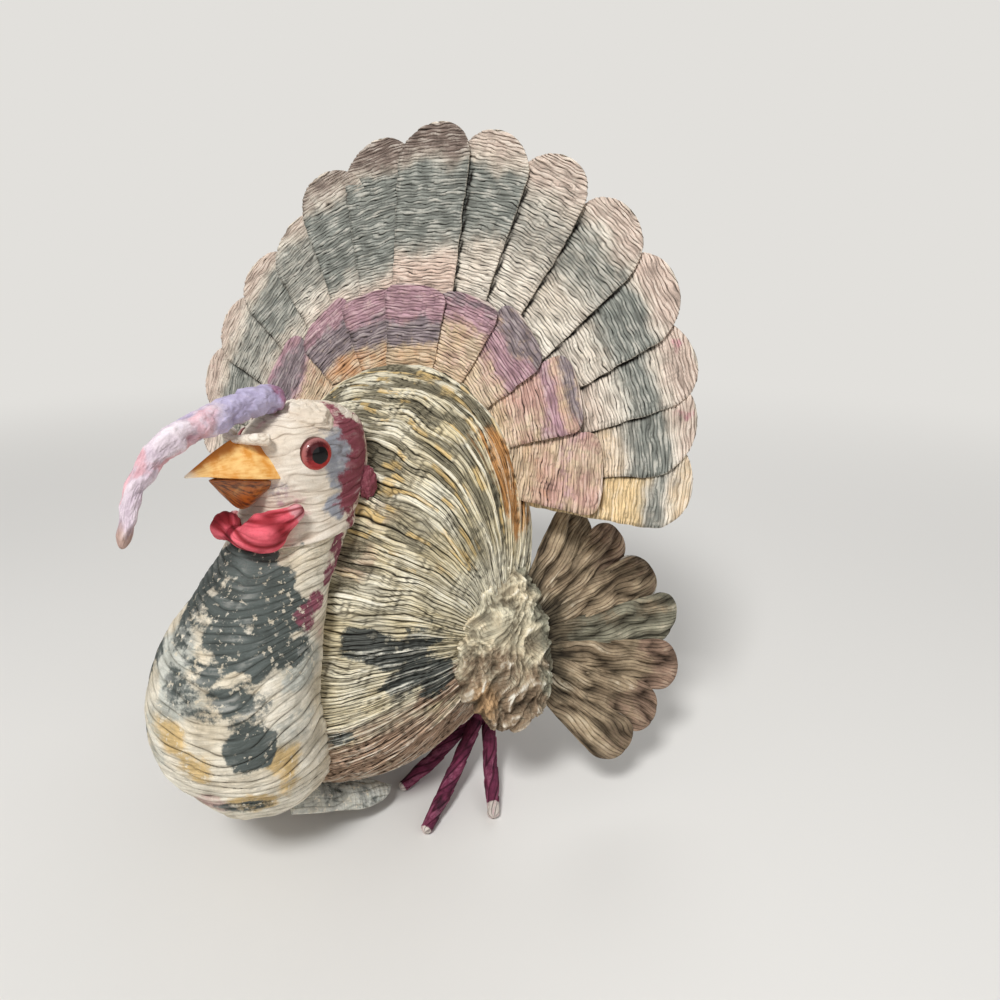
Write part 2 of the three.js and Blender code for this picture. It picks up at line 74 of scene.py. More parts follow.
def drift(x, y, seed, around=0):
    # gradient noise, about -1 to 1: each lattice corner slopes in its own direction, blended by
    # quintic weights; x repeats after `around` cells where that is set
    x, y = np.broadcast_arrays(np.asarray(x, float), np.asarray(y, float))
    ix, iy = np.floor(x), np.floor(y)
    fx, fy = x - ix, y - iy
    wx = fx ** 3 * (fx * (fx * 6 - 15) + 10)
    wy = fy ** 3 * (fy * (fy * 6 - 15) + 10)
    total = np.zeros(x.shape)
    for dx, dy in ((0, 0), (1, 0), (0, 1), (1, 1)):
        cx = (ix + dx) % around if around else ix + dx
        turn = 2 * np.pi * corner(cx, iy + dy, seed)
        slope = np.cos(turn) * (fx - dx) + np.sin(turn) * (fy - dy)
        total += slope * (wx if dx else 1 - wx) * (wy if dy else 1 - wy)
    return total * 1.5


def pillow(noise, sharp):
    # paper pillows between creases: how far the noise is from zero, rounded off at 1
    near = np.clip(np.abs(noise) * sharp, 0, 1)
    return 1 - (1 - near) ** 2


def crinkle(wide, fine, sharp=3.0):
    # two sizes of creased noise: pillows between the creases, and plies that lie over one another,
    # give the height, 0 to 1; the creases are where the two waves pass zero
    ply = np.clip(wide * sharp, -1, 1) / 2 + 0.5
    height = pillow(wide, sharp) * 0.42 + pillow(fine, sharp) * 0.23 + ply * 0.35
    return height, {"wave": np.clip(wide * 2, -1, 1), "fine": np.clip(fine * 2, -1, 1)}


def ribbons(phase, along, seed, around=0):
    # each ribbon of paper between two whole numbers of the phase has a slow noise of its own
    ribbon = np.floor(phase)
    if around:
        ribbon = ribbon % around
    return drift(ribbon * 0.61 + 0.5, along, seed)


def pleats(phase, finePhase, along, seed, around=0):
    # flat ribbons with a fold wherever the phase passes a whole number: the height is the sine of the
    # phase, rounded, times the ribbon's own noise, and each fold fades in and out
    wave = np.sin(np.pi * phase)
    height = np.clip(pillow(wave, 1.3) * (0.78 + 0.6 * ribbons(phase, along, seed, around)), 0, 1)
    faint = 0.85 * (1 - ease(-0.3, 0.25, ribbons(phase + 0.5, along * 1.6, seed + 1, around)))
    return height, {"wave": wave, "fine": np.sin(np.pi * finePhase), "faint": faint}


def scattered(x, y, seed, around=0):
    # squared distance to the nearest of points strewn one to a cell, and a number of that cell's own
    x, y = np.broadcast_arrays(np.asarray(x, float), np.asarray(y, float))
    best = np.full(x.shape, 9.0)
    own = np.zeros(x.shape)
    for step in range(9):
        cx = np.floor(x) + step % 3 - 1
        cy = np.floor(y) + step // 3 - 1
        key = cx % around if around else cx
        away = (x - cx - corner(key, cy, seed)) ** 2 + (y - cy - corner(key, cy, seed + 7)) ** 2
        own = np.where(away < best, corner(key, cy, seed + 13), own)
        best = np.minimum(best, away)
    return best, own


def crumple(x, y, seed, around=0):
    # crushed paper: one field of squared distances less another leaves flat facets between sharp ridges
    # and sharp valleys, 0 to 1
    ridge = scattered(x, y, seed, around)[0]
    valley = scattered(x, y, seed + 20, around)[0]
    return np.clip(0.5 + (ridge - valley) * 0.6, 0, 1)


def blot(turn, along, cells, reach, seed):
    # uneven soaking: three sizes of noise on the paper, each half the size and strength of the last;
    # `cells` of the largest fit once round the skin
    total = 0
    for size in (1, 2, 4):
        total = total + drift(turn * cells * size, along * size / reach, seed + size, cells * size) / size
    return total * 0.6


def patches(points, spots, soak, mirror=None):
    # painted patches, the strongest wins: each fades with the distance in units of its half sizes, and
    # the soak makes its outline run; `mirror` repeats it on the other flank, moved by that much
    total = np.zeros(points.shape[:-1])
    for x, y, z, sx, sy, sz, strength in spots:
        places = [(x, y, z)] if mirror is None else [(x, y, z), (-x, y + mirror, z - mirror)]
        for middle in places:
            away = np.sqrt((((points - np.array(middle)) / np.array([sx, sy, sz])) ** 2).sum(-1))
            total = np.maximum(total, strength * (1 - ease(0.4, 1.3, away + soak)))
    return total


# Point helpers

def together(*parts):
    # coordinates whose shapes fit one another, as one array of points
    return np.stack(np.broadcast_arrays(*parts), -1)


def unit(vectors):
    # vectors shortened to length 1
    return vectors / np.maximum(np.linalg.norm(vectors, axis=-1, keepdims=True), 1e-9)


def bulge(wave, power):
    # a sine or cosine to a power, its sign kept
    return np.sign(wave) * np.abs(wave) ** power


def boxy(direction, power):
    # directions pushed out to |x|^p + |y|^p + |z|^p = 1
    return direction / ((np.abs(direction) ** power).sum(-1, keepdims=True)) ** (1 / power)


def fullTurn(n):
    # the angles of n even columns round a ring
    return (np.arange(n) / n * 2 * np.pi)[None, :]


def globe(m, n, poleGap=0.02):
    # m rings from pole to pole: angle from the pole, share of a turn, and unit directions with z to the pole
    lat = np.linspace(poleGap, np.pi - poleGap, m)[:, None]
    lon = fullTurn(n)
    ball = together(np.sin(lat) * np.cos(lon), np.sin(lat) * np.sin(lon), np.cos(lat))
    return lat, lon / (2 * np.pi), ball


def roundPath(knots, count):
    # a Catmull-Rom curve through the knots, any number of columns, sampled at even arc length
    knots = np.asarray(knots, float)
    padded = np.concatenate([2 * knots[:1] - knots[1:2], knots, 2 * knots[-1:] - knots[-2:-1]])
    t = np.linspace(0, len(knots) - 1, 60 * len(knots))
    k = np.minimum(t.astype(int), len(knots) - 2)
    f = (t - k)[:, None]
    a, b, c, d = (padded[k + i] for i in range(4))
    square, cube = 2 * a - 5 * b + 4 * c - d, 3 * b - a - 3 * c + d
    fine = 0.5 * (2 * b + (c - a) * f + square * f ** 2 + cube * f ** 3)
    gone = np.concatenate([[0], np.cumsum(np.linalg.norm(np.diff(fine, axis=0), axis=1))])
    at = np.linspace(0, gone[-1], count)
    return np.stack([np.interp(at, gone, fine[:, i]) for i in range(fine.shape[1])], -1), at


def outward(rows):
    # unit normals of a grid closed across its columns: the cross product of its two slopes, turned
    # to face away from the middle
    along = np.gradient(rows, axis=0)
    across = np.roll(rows, -1, 1) - np.roll(rows, 1, 1)
    normal = np.cross(across, along)
    return unit(normal * np.sign((normal * (rows - rows.mean((0, 1)))).sum()))


def evenSheet(rows, aroundMm, alongMm):
    # paper coordinates in decimetres, even along and around a skin
    m, n = rows.shape[:2]
    v, u = np.meshgrid(np.linspace(0, alongMm, m), np.linspace(0, aroundMm, n + 1), indexing="ij")
    return np.stack([u, v], -1) / 100


def cutSheet(x, s):
    # paper coordinates in decimetres, across and along a cut strip
    sheet = np.stack([x, s], -1) / 100
    return np.concatenate([sheet, sheet[:, :1]], 1)


# Mesh helper

def shell(name, rows, finish, fields, sheet, nodes, body="figure"):
    # a closed skin: rows of points, each row a ring, with the end rings closed on their own middles;
    # fields are numbers per point for the finish, sheet holds two coordinates in the paper
    m, n = rows.shape[:2]
    points = np.concatenate([rows.reshape(-1, 3), rows[:1].mean(1), rows[-1:].mean(1)])
    i, j = np.meshgrid(np.arange(m - 1), np.arange(n), indexing="ij")
    k = (j + 1) % n
    quads = np.stack([i * n + j, i * n + k, (i + 1) * n + k, (i + 1) * n + j], -1).reshape(-1, 4)
    quadUv = np.stack([sheet[i, j], sheet[i, j + 1], sheet[i + 1, j + 1], sheet[i + 1, j]], -2)
    quadUv = quadUv.reshape(-1, 4, 2)
    c = np.arange(n)
    d = (c + 1) % n
    tip = np.full(n, m * n)
    last = (m - 1) * n
    fans = np.concatenate([np.stack([d, c, tip], -1), np.stack([last + c, last + d, tip + 1], -1)])
    middles = (sheet[:, :-1] + sheet[:, 1:]) / 2
    fanUv = np.concatenate([
        np.stack([sheet[0, 1:], sheet[0, :-1], middles[0]], -2),
        np.stack([sheet[-1, :-1], sheet[-1, 1:], middles[-1]], -2),
    ])
    p = points[quads] - points[0]
    inside = (np.cross(p[:, 0], p[:, 1]) * p[:, 2] + np.cross(p[:, 0], p[:, 2]) * p[:, 3]).sum()
    if inside < 0:
        quads, quadUv, fans, fanUv = (part[:, ::-1] for part in (quads, quadUv, fans, fanUv))
    mesh = bpy.data.meshes.new(name)
    mesh.vertices.add(len(points))
    mesh.vertices.foreach_set("co", ((points + [0, midY, 0]) * perMm).astype(np.float32).ravel())
    corners = np.concatenate([quads.ravel(), fans.ravel()])
    mesh.loops.add(len(corners))
    mesh.loops.foreach_set("vertex_index", corners.astype(np.int32))
    starts = np.concatenate([np.arange(len(quads)) * 4, len(quads) * 4 + np.arange(len(fans)) * 3])
    mesh.polygons.add(len(starts))
    mesh.polygons.foreach_set("loop_start", starts.astype(np.int32))
    mesh.update(calc_edges=True)
    mesh.polygons.foreach_set("use_smooth", np.ones(len(starts), bool))
    layer = mesh.uv_layers.new(name="sheet")
    layer.data.foreach_set("uv", np.concatenate([quadUv.ravel(), fanUv.ravel()]).astype(np.float32))
    for key, values in fields.items():
        values = np.broadcast_to(values, (m, n))
        flat = np.concatenate([values.ravel(), [values[0].mean()], [values[-1].mean()]])
        mesh.attributes.new(key, "FLOAT", "POINT").data.foreach_set("value", flat.astype(np.float32))
    mesh.materials.append(finish)
    piece = bpy.data.objects.new(name, mesh)
    bpy.context.scene.collection.objects.link(piece)
    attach(piece, body)
    if nodes:
        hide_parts(*nodes)


# Finish helpers

class Wire:
    # a socket of a material; arithmetic on it adds Math nodes
    def __init__(self, tree, socket=None):
        self.tree = tree
        self.socket = socket

    def feed(self, made, sockets):
        # wires go into a node's inputs, plain values onto them
        for key, value in sockets.items():
            if isinstance(value, Wire):
                self.tree.links.new(value.socket, made.inputs[key])
            else:
                made.inputs[key].default_value = value

    def node(self, kind, settings, sockets, out=0):
        # a new node with its settings and inputs; the wire is one of its outputs
        made = self.tree.nodes.new(kind)
        for key, value in settings.items():
            setattr(made, key, value)
        self.feed(made, sockets)
        return Wire(self.tree, made.outputs[out])

    def math(self, operation, *values):
        # one sum, difference, product or the like of these values
        return self.node("ShaderNodeMath", {"operation": operation}, dict(enumerate(values)))

    def __add__(self, other):
        return self.math("ADD", self, other)

    def __sub__(self, other):
        return self.math("SUBTRACT", self, other)

    def __rsub__(self, other):
        return self.math("SUBTRACT", other, self)

    def __mul__(self, other):
        return self.math("MULTIPLY", self, other)

    __radd__ = __add__
    __rmul__ = __mul__

    def between(self, low, high):
        # smooth step of this value
        settings = {"interpolation_type": "SMOOTHSTEP"}
        return self.node("ShaderNodeMapRange", settings, {0: self, 1: low, 2: high})

    def apart(self, level):
        # how far this value is from a level
        gap = self - level
        return gap.math("ABSOLUTE", gap)

    def mix(self, first, second, blend="MIX"):
        # from the first colour to the second by this value
        settings = {"data_type": "RGBA", "blend_type": blend, "clamp_factor": True}
        return self.node("ShaderNodeMix", settings, {0: self, 6: first, 7: second}, 2)

    def bump(self, strength, distance):
        # normals tilted by this height
        return self.node("ShaderNodeBump", {}, {"Strength": strength, "Distance": distance, "Height": self})


def newFinish(name):
    # a material, a wire that its nodes start from, and its shader
    finish = bpy.data.materials.new(name)
    finish.use_nodes = True
    tree = finish.node_tree
    return finish, Wire(tree), tree.nodes["Principled BSDF"]


def field(start, name):
    # a number that each point of the mesh carries
    return start.node("ShaderNodeAttribute", {"attribute_name": name}, {}, 2)


def speckle(start, scale, detail=3.0, stretch=None, rough=0.55):
    # noise in object space per metre, or with `stretch` in the paper's own two coordinates
    if stretch is None:
        place = start.node("ShaderNodeTexCoord", {}, {}, 3)
    else:
        flat = start.node("ShaderNodeUVMap", {"uv_map": "sheet"}, {})
        place = start.node("ShaderNodeVectorMath", {"operation": "MULTIPLY"}, {0: flat, 1: (*stretch, 1)})
    sockets = {"Vector": place, "Scale": scale, "Detail": detail, "Roughness": rough}
    return start.node("ShaderNodeTexNoise", {}, sockets)


# What every paper starts from; each piece's own look changes some of it
paper = {
    "brush": 0.4, "wash": 0.25, "washScale": 170, "washTone": (0.4, 0.39, 0.37, 1),
    "raggedScale": 420, "speckScale": 420, "speck": 0.1,
    # strengths of the painted shade on the fold lines, fine folds and hair creases, and of the pale crests,
    # which are rubbed wear and painted highlight
    "creaseStart": 0.05, "creaseShadeDepth": 1.0, "fineCreaseShade": 0.2, "hair": 0.1, "rubAndHighlightStrength": 0.5,
    "fibreScale": 2600, "fibre": 0.12, "fibreTone": (0.3, 0.27, 0.25, 1),
    "bump": 0.5, "bumpDepth": 0.0006, "sheen": 0.25,
}


def paperFinish(name, changes):
    # crepe paper: two mottled tones, painted layers that dissolve at their edges and miss torn flecks,
    # painted shade in the hollows, thin folds and hair creases, and crests painted pale: rubbed wear and
    # painted highlight
    look = {**paper, **changes}
    # the crease colour is the colour of the painted shade
    creaseShade = paint(*look["creaseShade"])
    folds = look["creaseStart"], look["creaseWidth"]
    finish, start, shader = newFinish(name)
    groove = (1 - field(start, "wave").apart(0).between(*folds)) * (1 - field(start, "faint"))
    fineGroove = 1 - field(start, "fine").apart(0).between(*folds)
    crest = field(start, "crest")
    cloud = speckle(start, look["cloudScale"], 4.0)
    streak = speckle(start, 1.0, 4.0, look["streak"])
    grain = speckle(start, look["raggedScale"], 6.0, None, 0.72)
    fibre = speckle(start, look["fibreScale"], 3.0)
    hair = speckle(start, 1.0, 1.0, look["crimp"]).apart(0.5)
    wash = speckle(start, look["washScale"], 5.0, None, 0.65)
    flecks = speckle(start, look["speckScale"], 3.0, None, 0.6)
    missed = flecks.between(0.58, 0.64) * wash.between(0.4, 0.54)
    mottle = (cloud + (streak - 0.5) * look["brush"]).between(0.3, 0.7)
    colour = bare = mottle.mix(paint(*look["pale"]), paint(*look["deep"]))
    ragged = (grain - 0.5) * 1.5 + (streak - 0.5) * 0.4
    for key, (tone, rough, low, high) in look["layers"].items():
        colour = (field(start, key) + ragged * rough).between(low, high).mix(colour, paint(*tone))
    colour = (wash.between(0.38, 0.66) * look["wash"]).mix(colour, look["washTone"], "MULTIPLY")
    colour = (missed * look["speck"]).mix(colour, bare)
    # painted shade: the crease colour multiplied into the hollows, the fine folds, the fold lines and the
    # hair creases
    paintedShade = (
        (1 - crest).between(0.1, 0.95) * look["hollowShade"],
        fineGroove * look["fineCreaseShade"],
        groove * look["creaseShadeDepth"],
        (1 - hair.between(0.0, 0.05)) * look["hair"],
    )
    for share in paintedShade:
        colour = share.mix(colour, creaseShade, "MULTIPLY")
    # crests painted pale: partly rubbed wear, partly a painted highlight
    rubAndHighlight = crest.between(0.66, 0.98) * (streak + (grain - 0.5) * 0.8).between(0.36, 0.62) * look["rubAndHighlightStrength"]
    colour = rubAndHighlight.mix(colour, paint(*look["rubAndHighlight"]))
    colour = (fibre.between(0.35, 0.7) * look["fibre"]).mix(colour, look["fibreTone"], "MULTIPLY")
    height = hair.between(0.0, 0.2) * 0.7 + grain * 0.4 + fibre * 0.15 - groove * 0.6
    start.feed(shader, {
        "Base Color": colour, "Roughness": 0.72 + 0.2 * fibre,
        "Normal": height.bump(look["bump"], look["bumpDepth"]), "Specular IOR Level": look["sheen"],
    })
    return finish


print("helpers ready")

# Camera and light
view = {
    "eye": (151.8, -176.4, 172.3),
    "turn": 29.5,   # degrees round from straight ahead
    "look": 18.4,   # degrees down
    "lens": 27.04,
    "room": 0.34,
    "floor": paint(226, 224, 220),
    "floorSize": 6.0,
    "floorFade": (0.25, 0.9),   # metres from the middle where the lit floor turns into the backdrop
    # place in metres, power, size
    "lamps": {
        "keyLamp": ((0.16, -0.62, 0.85), 7.8, 0.22),
        "fillLamp": ((0.85, -0.25, 0.45), 1.1, 0.7),
        "backLamp": ((-0.2, 0.9, 0.7), 3.0, 0.7),
    },
    "lampAim": (0, 0, 0.1),
}
lens = bpy.data.cameras.new("camera")
lens.sensor_width = 36
lens.lens = view["lens"]
lens.clip_start = 0.01
camera = bpy.data.objects.new("camera", lens)
camera.location = (np.array(view["eye"]) + [0, midY, 0]) * perMm
camera.rotation_euler = np.radians([90 - view["look"], 0, view["turn"]])
bpy.context.scene.collection.objects.link(camera)
bpy.context.scene.camera = camera
bpy.context.scene.view_settings.view_transform = "Standard"

# square soft lamps that face the middle of the figure
for lampName, (lampPlace, power, size) in view["lamps"].items():
    lamp = bpy.data.lights.new(lampName, "AREA")
    lamp.energy = power
    lamp.size = size
    holder = bpy.data.objects.new(lampName, lamp)
    holder.location = lampPlace
    towards = np.array(view["lampAim"]) - np.array(lampPlace)
    level = np.hypot(towards[0], towards[1])
    holder.rotation_euler = (np.arctan2(level, -towards[2]), 0, np.arctan2(-towards[0], towards[1]))
    bpy.context.scene.collection.objects.link(holder)


def plainSight(start):
    # 1 for rays that the camera or glass sends straight to the backdrop
    seen = start.node("ShaderNodeLightPath", {}, {}, "Is Camera Ray")
    through = start.node("ShaderNodeLightPath", {}, {}, "Is Transmission Ray")
    return seen.math("MAXIMUM", seen, through)


room = bpy.data.worlds.new("room")
room.use_nodes = True
bpy.context.scene.world = room
roomStart = Wire(room.node_tree)
shade = plainSight(roomStart).mix((view["room"],) * 3 + (1,), view["floor"])
roomStart.feed(room.node_tree.nodes["Background"], {"Color": shade, "Strength": 1.0})

floorFinish, floorStart, floorShader = newFinish("paleFloor")
floorStart.feed(floorShader, {"Base Color": view["floor"], "Roughness": 0.8})
floorPlace = floorStart.node("ShaderNodeTexCoord", {}, {}, 3)
floorAway = floorStart.node("ShaderNodeVectorMath", {"operation": "LENGTH"}, {0: floorPlace}, 1)
floorGlow = floorStart.node("ShaderNodeEmission", {}, {"Color": view["floor"]})
floorLit = Wire(floorStart.tree, floorShader.outputs[0])
faded = floorAway.between(*view["floorFade"]) * plainSight(floorStart)
floorMix = floorStart.node("ShaderNodeMixShader", {}, {0: faded, 1: floorLit, 2: floorGlow})
floorStart.feed(floorStart.tree.nodes["Material Output"], {"Surface": floorMix})
floorMesh = bpy.data.meshes.new("floor")
reach = view["floorSize"]
floorCorners = [(-reach, -reach, 0), (reach, -reach, 0), (reach, reach, 0), (-reach, reach, 0)]
floorMesh.from_pydata(floorCorners, [], [(0, 1, 2, 3)])
floorMesh.materials.append(floorFinish)
floor = bpy.data.objects.new("floor", floorMesh)
bpy.context.scene.collection.objects.link(floor)
print("camera, lamps and floor set")

# Body: straw-coloured crepe gathered at the two wings
body = {
    "middleZ": 61.6, "halfWidth": 46.6, "halfLength": 48.0, "halfHeight": 53.0,
    "heightGain": 0.5, "widthGain": 0.3, "axisRise": 0.55, "squareness": 2.3,
    "folds": 236, "foldLength": 7.5, "foldDepth": 1.3, "bigFolds": 44, "bigDepth": 1.3, "crush": 0.7,
    "gatherBack": 0.1, "gatherDown": 0.16,
    "around": 330, "across": 155, "rings": 70, "columns": 1400,
}
# layers of paint: colour, how ragged its edge is, and where it starts and is full
bodyLook = {
    # the crease colour is the painted shade, the rubbed colour the pale of the crests: rubbed wear and
    # painted highlight
    "pale": (255, 248, 224), "deep": (238, 222, 180), "creaseShade": (58, 49, 30), "rubAndHighlight": (255, 251, 234),
    "layers": {
        "brown": ((198, 166, 140), 0.7, 0.25, 0.85),
        "dusk": ((156, 148, 124), 0.6, 0.28, 0.72),
        "ochre": ((238, 206, 142), 0.6, 0.4, 0.8),
        "rust": ((220, 160, 98), 0.8, 0.3, 0.8),
        "slate": ((98, 101, 96), 0.9, 0.36, 0.64),
    },
    "brush": 0.5, "wash": 0.4, "cloudScale": 60, "streak": (70, 9), "crimp": (80, 9), "speck": 0.3,
    "creaseWidth": 0.54, "hollowShade": 0.55, "fineCreaseShade": 0.65, "hair": 0.15, "rubAndHighlightStrength": 0.9, "bump": 0.6,
}
# painted patches: middle, half sizes, strength
bodyPaint = {
    "slate": [(35, -22, 60, 10, 13, 9, 1.0), (26, -29, 65, 8, 8, 5, 0.95), (38, -20, 52, 5, 7, 5, 0.8),
              (22, -40, 39, 5, 6, 4, 0.95), (33, -26, 54, 6, 7, 6, 0.9),
              (31, -25, 61, 8, 9, 7, 1.1), (37, -18, 55, 8, 9, 7, 1.1)],
    "dusk": [(0, 22, 133, 16, 9, 8, 0.7), (27, 9, 117, 17, 11, 10, 0.6), (33, 22, 121, 10, 9, 9, 0.7),
             (15, -24, 84, 8, 10, 9, 0.6), (25, -16, 90, 12, 10, 9, 0.6)],
    "ochre": [(12, 22, 133, 10, 9, 3, 0.7), (21, 23, 129, 10, 9, 4, 0.6), (40, -5, 85, 7, 8, 5, 0.7),
              (17, -8, 105, 11, 7, 3, 0.6)],
    "brown": [(15, -24, 86, 8, 9, 9, 0.6), (42, -15, 48, 9, 11, 8, 0.95), (16, -12, 98, 8, 7, 6, 0.5)],
}


def eggPoint(direction):
    # a boxy egg stretched to the half sizes, then wider, higher and lifted towards the tail
    halves = [body["halfWidth"], body["halfLength"], body["halfHeight"]]
    x, y, z = np.moveaxis(boxy(direction, body["squareness"]) * halves, -1, 0)
    x = x * (1 + body["widthGain"] * y / body["halfWidth"])
    z = z * (1 + body["heightGain"] * y / body["halfHeight"]) + body["axisRise"] * y
    return together(x, y, z + body["middleZ"])


def makeBody():
    # meridians run from wing to wing round the egg, and the paper is folded along them: pleats, slow big
    # folds and crushed facets, all calmer where the paper is drawn together at the wings
    lat, turn, ball = globe(body["rings"], body["columns"])
    gather = (np.cos(lat) ** 2)[..., None] * [0, body["gatherBack"], -body["gatherDown"]]
    smooth = eggPoint(ball[..., [2, 0, 1]] + gather)
    cells, big = body["folds"], body["bigFolds"]
    share = lat / np.pi
    run = share * body["foldLength"]
    sway = drift(turn * 18, run, 11, 18) * 1.4 + drift(turn * 60, run * 2.4, 12, 60) * 0.8
    phase = turn * cells + sway
    finePhase = phase * 2 + 1.4 * drift(turn * 90, run * 3, 13, 90)
    height, lines = pleats(phase, finePhase, run * 1.1, 21, cells)
    under = 1 - ease(-0.1, 0.1, ribbons(phase, run * 1.1, 21, cells))
    crush = crumple(turn * 120 + sway * 0.6, run * 3.2, 25, 120)
    drape = pillow(drift(turn * big + sway * 0.25, run * 0.7, 23, big), 1.3)
    calm = 0.35 + 0.65 * ease(0, 0.35, lat) * ease(0, 0.35, np.pi - lat)
    lift = (height - 0.62) * body["foldDepth"] + (drape - 0.6) * body["bigDepth"]
    lift = calm * (lift + (crush - 0.5) * body["crush"])
    rows = smooth + outward(smooth) * lift[..., None]
    soak = blot(turn, share * body["across"], 26, 34, 24)
    low = smooth[..., 2]
    rim = ease(11, 18, smooth[..., 1]) * (1 - ease(116, 124, low)) * ease(80, 92, low)
    rim = rim * ease(24, 34, np.abs(smooth[..., 0]))
    fields = {
        **lines,
        "crest": height * 0.6 + drape * 0.2 + crush * 0.2,
        **{key: patches(smooth, spots, soak, 4) for key, spots in bodyPaint.items()},
        "rust": rim * (0.6 + 0.4 * under) - 0.4 * soak * rim,
    }
    # some plies are washed grey, more of them up on the back, and scraps of them ochre
    grey = np.clip(0.36 + 0.4 * ease(80, 112, low) - 0.25 * (1 - ease(40, 60, low)) + 0.35 * soak, 0, 1)
    scraps = ease(0.22, 0.42, ribbons(phase, run * 1.9, 26, cells)) * ease(66, 90, low)
    fields["dusk"] = np.maximum(fields["dusk"], grey) * (0.4 + 0.65 * under)
    fields["ochre"] = np.maximum(fields["ochre"] * (0.5 + 0.5 * under), 0.75 * scraps)
    fields["brown"] = np.maximum(fields["brown"], 0.95 * (1 - ease(30, 56, low + 9 * soak)))
    fields["slate"] = fields["slate"] * (0.75 + 0.35 * under)
    sheet = evenSheet(rows, body["around"], body["across"])
    shell("body_skin", rows, paperFinish("strawPaper", bodyLook), fields, sheet, ["body_wrap"])


makeBody()
print("body made")

# Neck, breast and head: one outline of (height, front, back, half width), wrapped round and round
neck = {
    "outline": [
        (131.6, -22.5, -21.5, 0.3), (130.6, -31.5, -12.5, 6.5), (128, -37.2, -6.8, 10.5),
        (124, -41.1, -2.9, 13.2), (116, -43, -1.4, 14.5), (108, -42.6, -3.4, 14.5), (104, -43, -6.4, 14.9),
        (98, -47, -10.6, 15.2), (92, -52, -16, 15.2), (85, -60, -20.5, 16.2), (77, -69, -26, 18.6),
        (68, -75, -30.5, 20.8), (58, -78.2, -33.5, 22.2), (50, -78.4, -33.5, 22.4),
        (41.5, -76.8, -32, 22.2), (33, -72.8, -29.5, 21.0), (25.5, -67.6, -29.5, 17.6),
        (20, -61, -33, 12.8), (16.8, -53.5, -39, 6.8), (15.8, -47, -46, 0.3),
    ],
    "columns": 220, "squareness": 2.15, "least": 0.2, "pathPoints": 1600,
    # heights between which folds get deeper, fold lines get fainter, and the breast's top is tucked in
    "deepen": (60, 40), "fade": (50, 66), "tuckIn": (94, 98),
}
# wraps: slow sway by cells round, rate along, seed and reach; width of a strip; folds that are calmer above
breast = {
    "from": 101.5, "to": 15.8, "rings": 400, "around": 150, "seed": 31,
    "sway": [(4, 0.03, 31, 7), (11, 0.1, 32, 1.8)], "strip": 3.3, "jitter": 0, "fine": 2.1, "along": 13,
    "facets": 16, "facetLength": 4.2, "crush": 0.35, "soakLength": 14,
    "foldDepth": 0.6, "start": 6, "swell": 0.5, "tuck": 0.7, "hem": 0, "calm": 0.6,
}
head = {
    "from": 131.6, "to": 97.0, "rings": 240, "around": 110, "seed": 41,
    "sway": [(5, 0.06, 41, 4)], "strip": 4.4, "jitter": 0.5, "fine": 1.9, "along": 11,
    "facets": 15, "facetLength": 3.8, "crush": 0.55, "soakLength": 9,
    "foldDepth": 0.6, "start": 4, "swell": 0, "tuck": 0, "hem": 0.9, "calm": 0,
}
breastLook = {
    "pale": (250, 243, 226), "deep": (228, 214, 188), "creaseShade": (88, 82, 66), "rubAndHighlight": (254, 250, 240),
    "layers": {
        "rose": ((216, 180, 172), 0.8, 0.3, 0.85),
        "ochre": ((238, 206, 148), 0.8, 0.35, 0.85),
        "mist": ((206, 207, 197), 0.9, 0.3, 0.9),
        "slate": ((97, 104, 101), 0.9, 0.36, 0.68),
        "plum": ((156, 92, 108), 0.9, 0.35, 0.75),
    },
    "wash": 0.45, "cloudScale": 70, "streak": (9, 60), "crimp": (9, 50), "speckScale": 560, "speck": 0.75,
    "creaseWidth": 0.24, "creaseShadeDepth": 0.85, "hollowShade": 0.42, "hair": 0.12, "rubAndHighlightStrength": 0.3,
}
breastPaint = {
    "slate": [(4, -50, 96, 16, 12, 10, 1.1), (8, -55, 86, 14, 12, 10, 1.3), (10, -65, 77, 9, 9, 8, 1.1),
              (16, -60, 75, 7, 9, 8, 1.2), (14, -69, 68, 8, 7, 6, 1.15), (19, -65, 64, 5, 7, 5, 0.55),
              (17.5, -69, 52, 6, 7.5, 8, 1.0), (18, -68, 61, 6, 6, 5, 0.55), (-4, -62, 83, 9, 9, 9, 0.6),
              (-3, -70, 75, 9, 8, 7, 0.36), (4, -73, 69, 9, 7, 6, 0.55), (8, -74, 63.5, 9, 6, 4, 0.55),
              (10, -70, 73, 8, 7, 6, 0.95), (17, -50, 82, 6, 9, 8, 1.0), (19, -55, 74, 5, 9, 6, 1.0),
              (12, -68, 33, 9, 8, 3, 0.6), (-14, -54, 87, 10, 14, 13, 1.4), (-13, -66, 70, 8, 9, 8, 0.9),
              (-14, -70, 50, 8, 9, 9, 0.9)],
    "mist": [(-5, -70, 74, 12, 11, 9, 1.0), (4, -76, 66, 11, 8, 7, 0.9), (20, -52, 69, 6, 9, 11, 0.9),
             (-20, -52, 62, 8, 12, 14, 0.6), (-6, -78, 54, 6, 6, 12, 0.6), (22, -56, 54, 5, 9, 7, 0.6)],
    "ochre": [(2, -77.5, 58, 8, 6, 6, 0.85), (9, -76.5, 49, 8, 6, 7, 0.9), (0, -70, 77, 4, 5, 4, 0.6),
              (21, -60, 42, 7, 9, 10, 0.9), (-4, -66, 80, 4, 5, 4, 0.5), (-12, -74, 40, 8, 8, 8, 0.6),
              (16, -66, 36, 7, 8, 6, 0.8)],
    "plum": [(14, -26, 92, 4, 4, 6, 0.9), (15.6, -32, 86, 3.4, 4, 5, 0.8), (17, -39, 82, 3, 4, 4, 0.8),
             (18.5, -45, 79, 2.6, 4, 4, 0.7), (-14, -26, 92, 4, 5, 6, 0.9), (-16, -34, 85, 4, 4, 5, 0.8)],
    "rose": [(4, -74, 34, 10, 9, 5, 0.7), (20, -38, 76, 5, 6, 8, 0.5)],
}
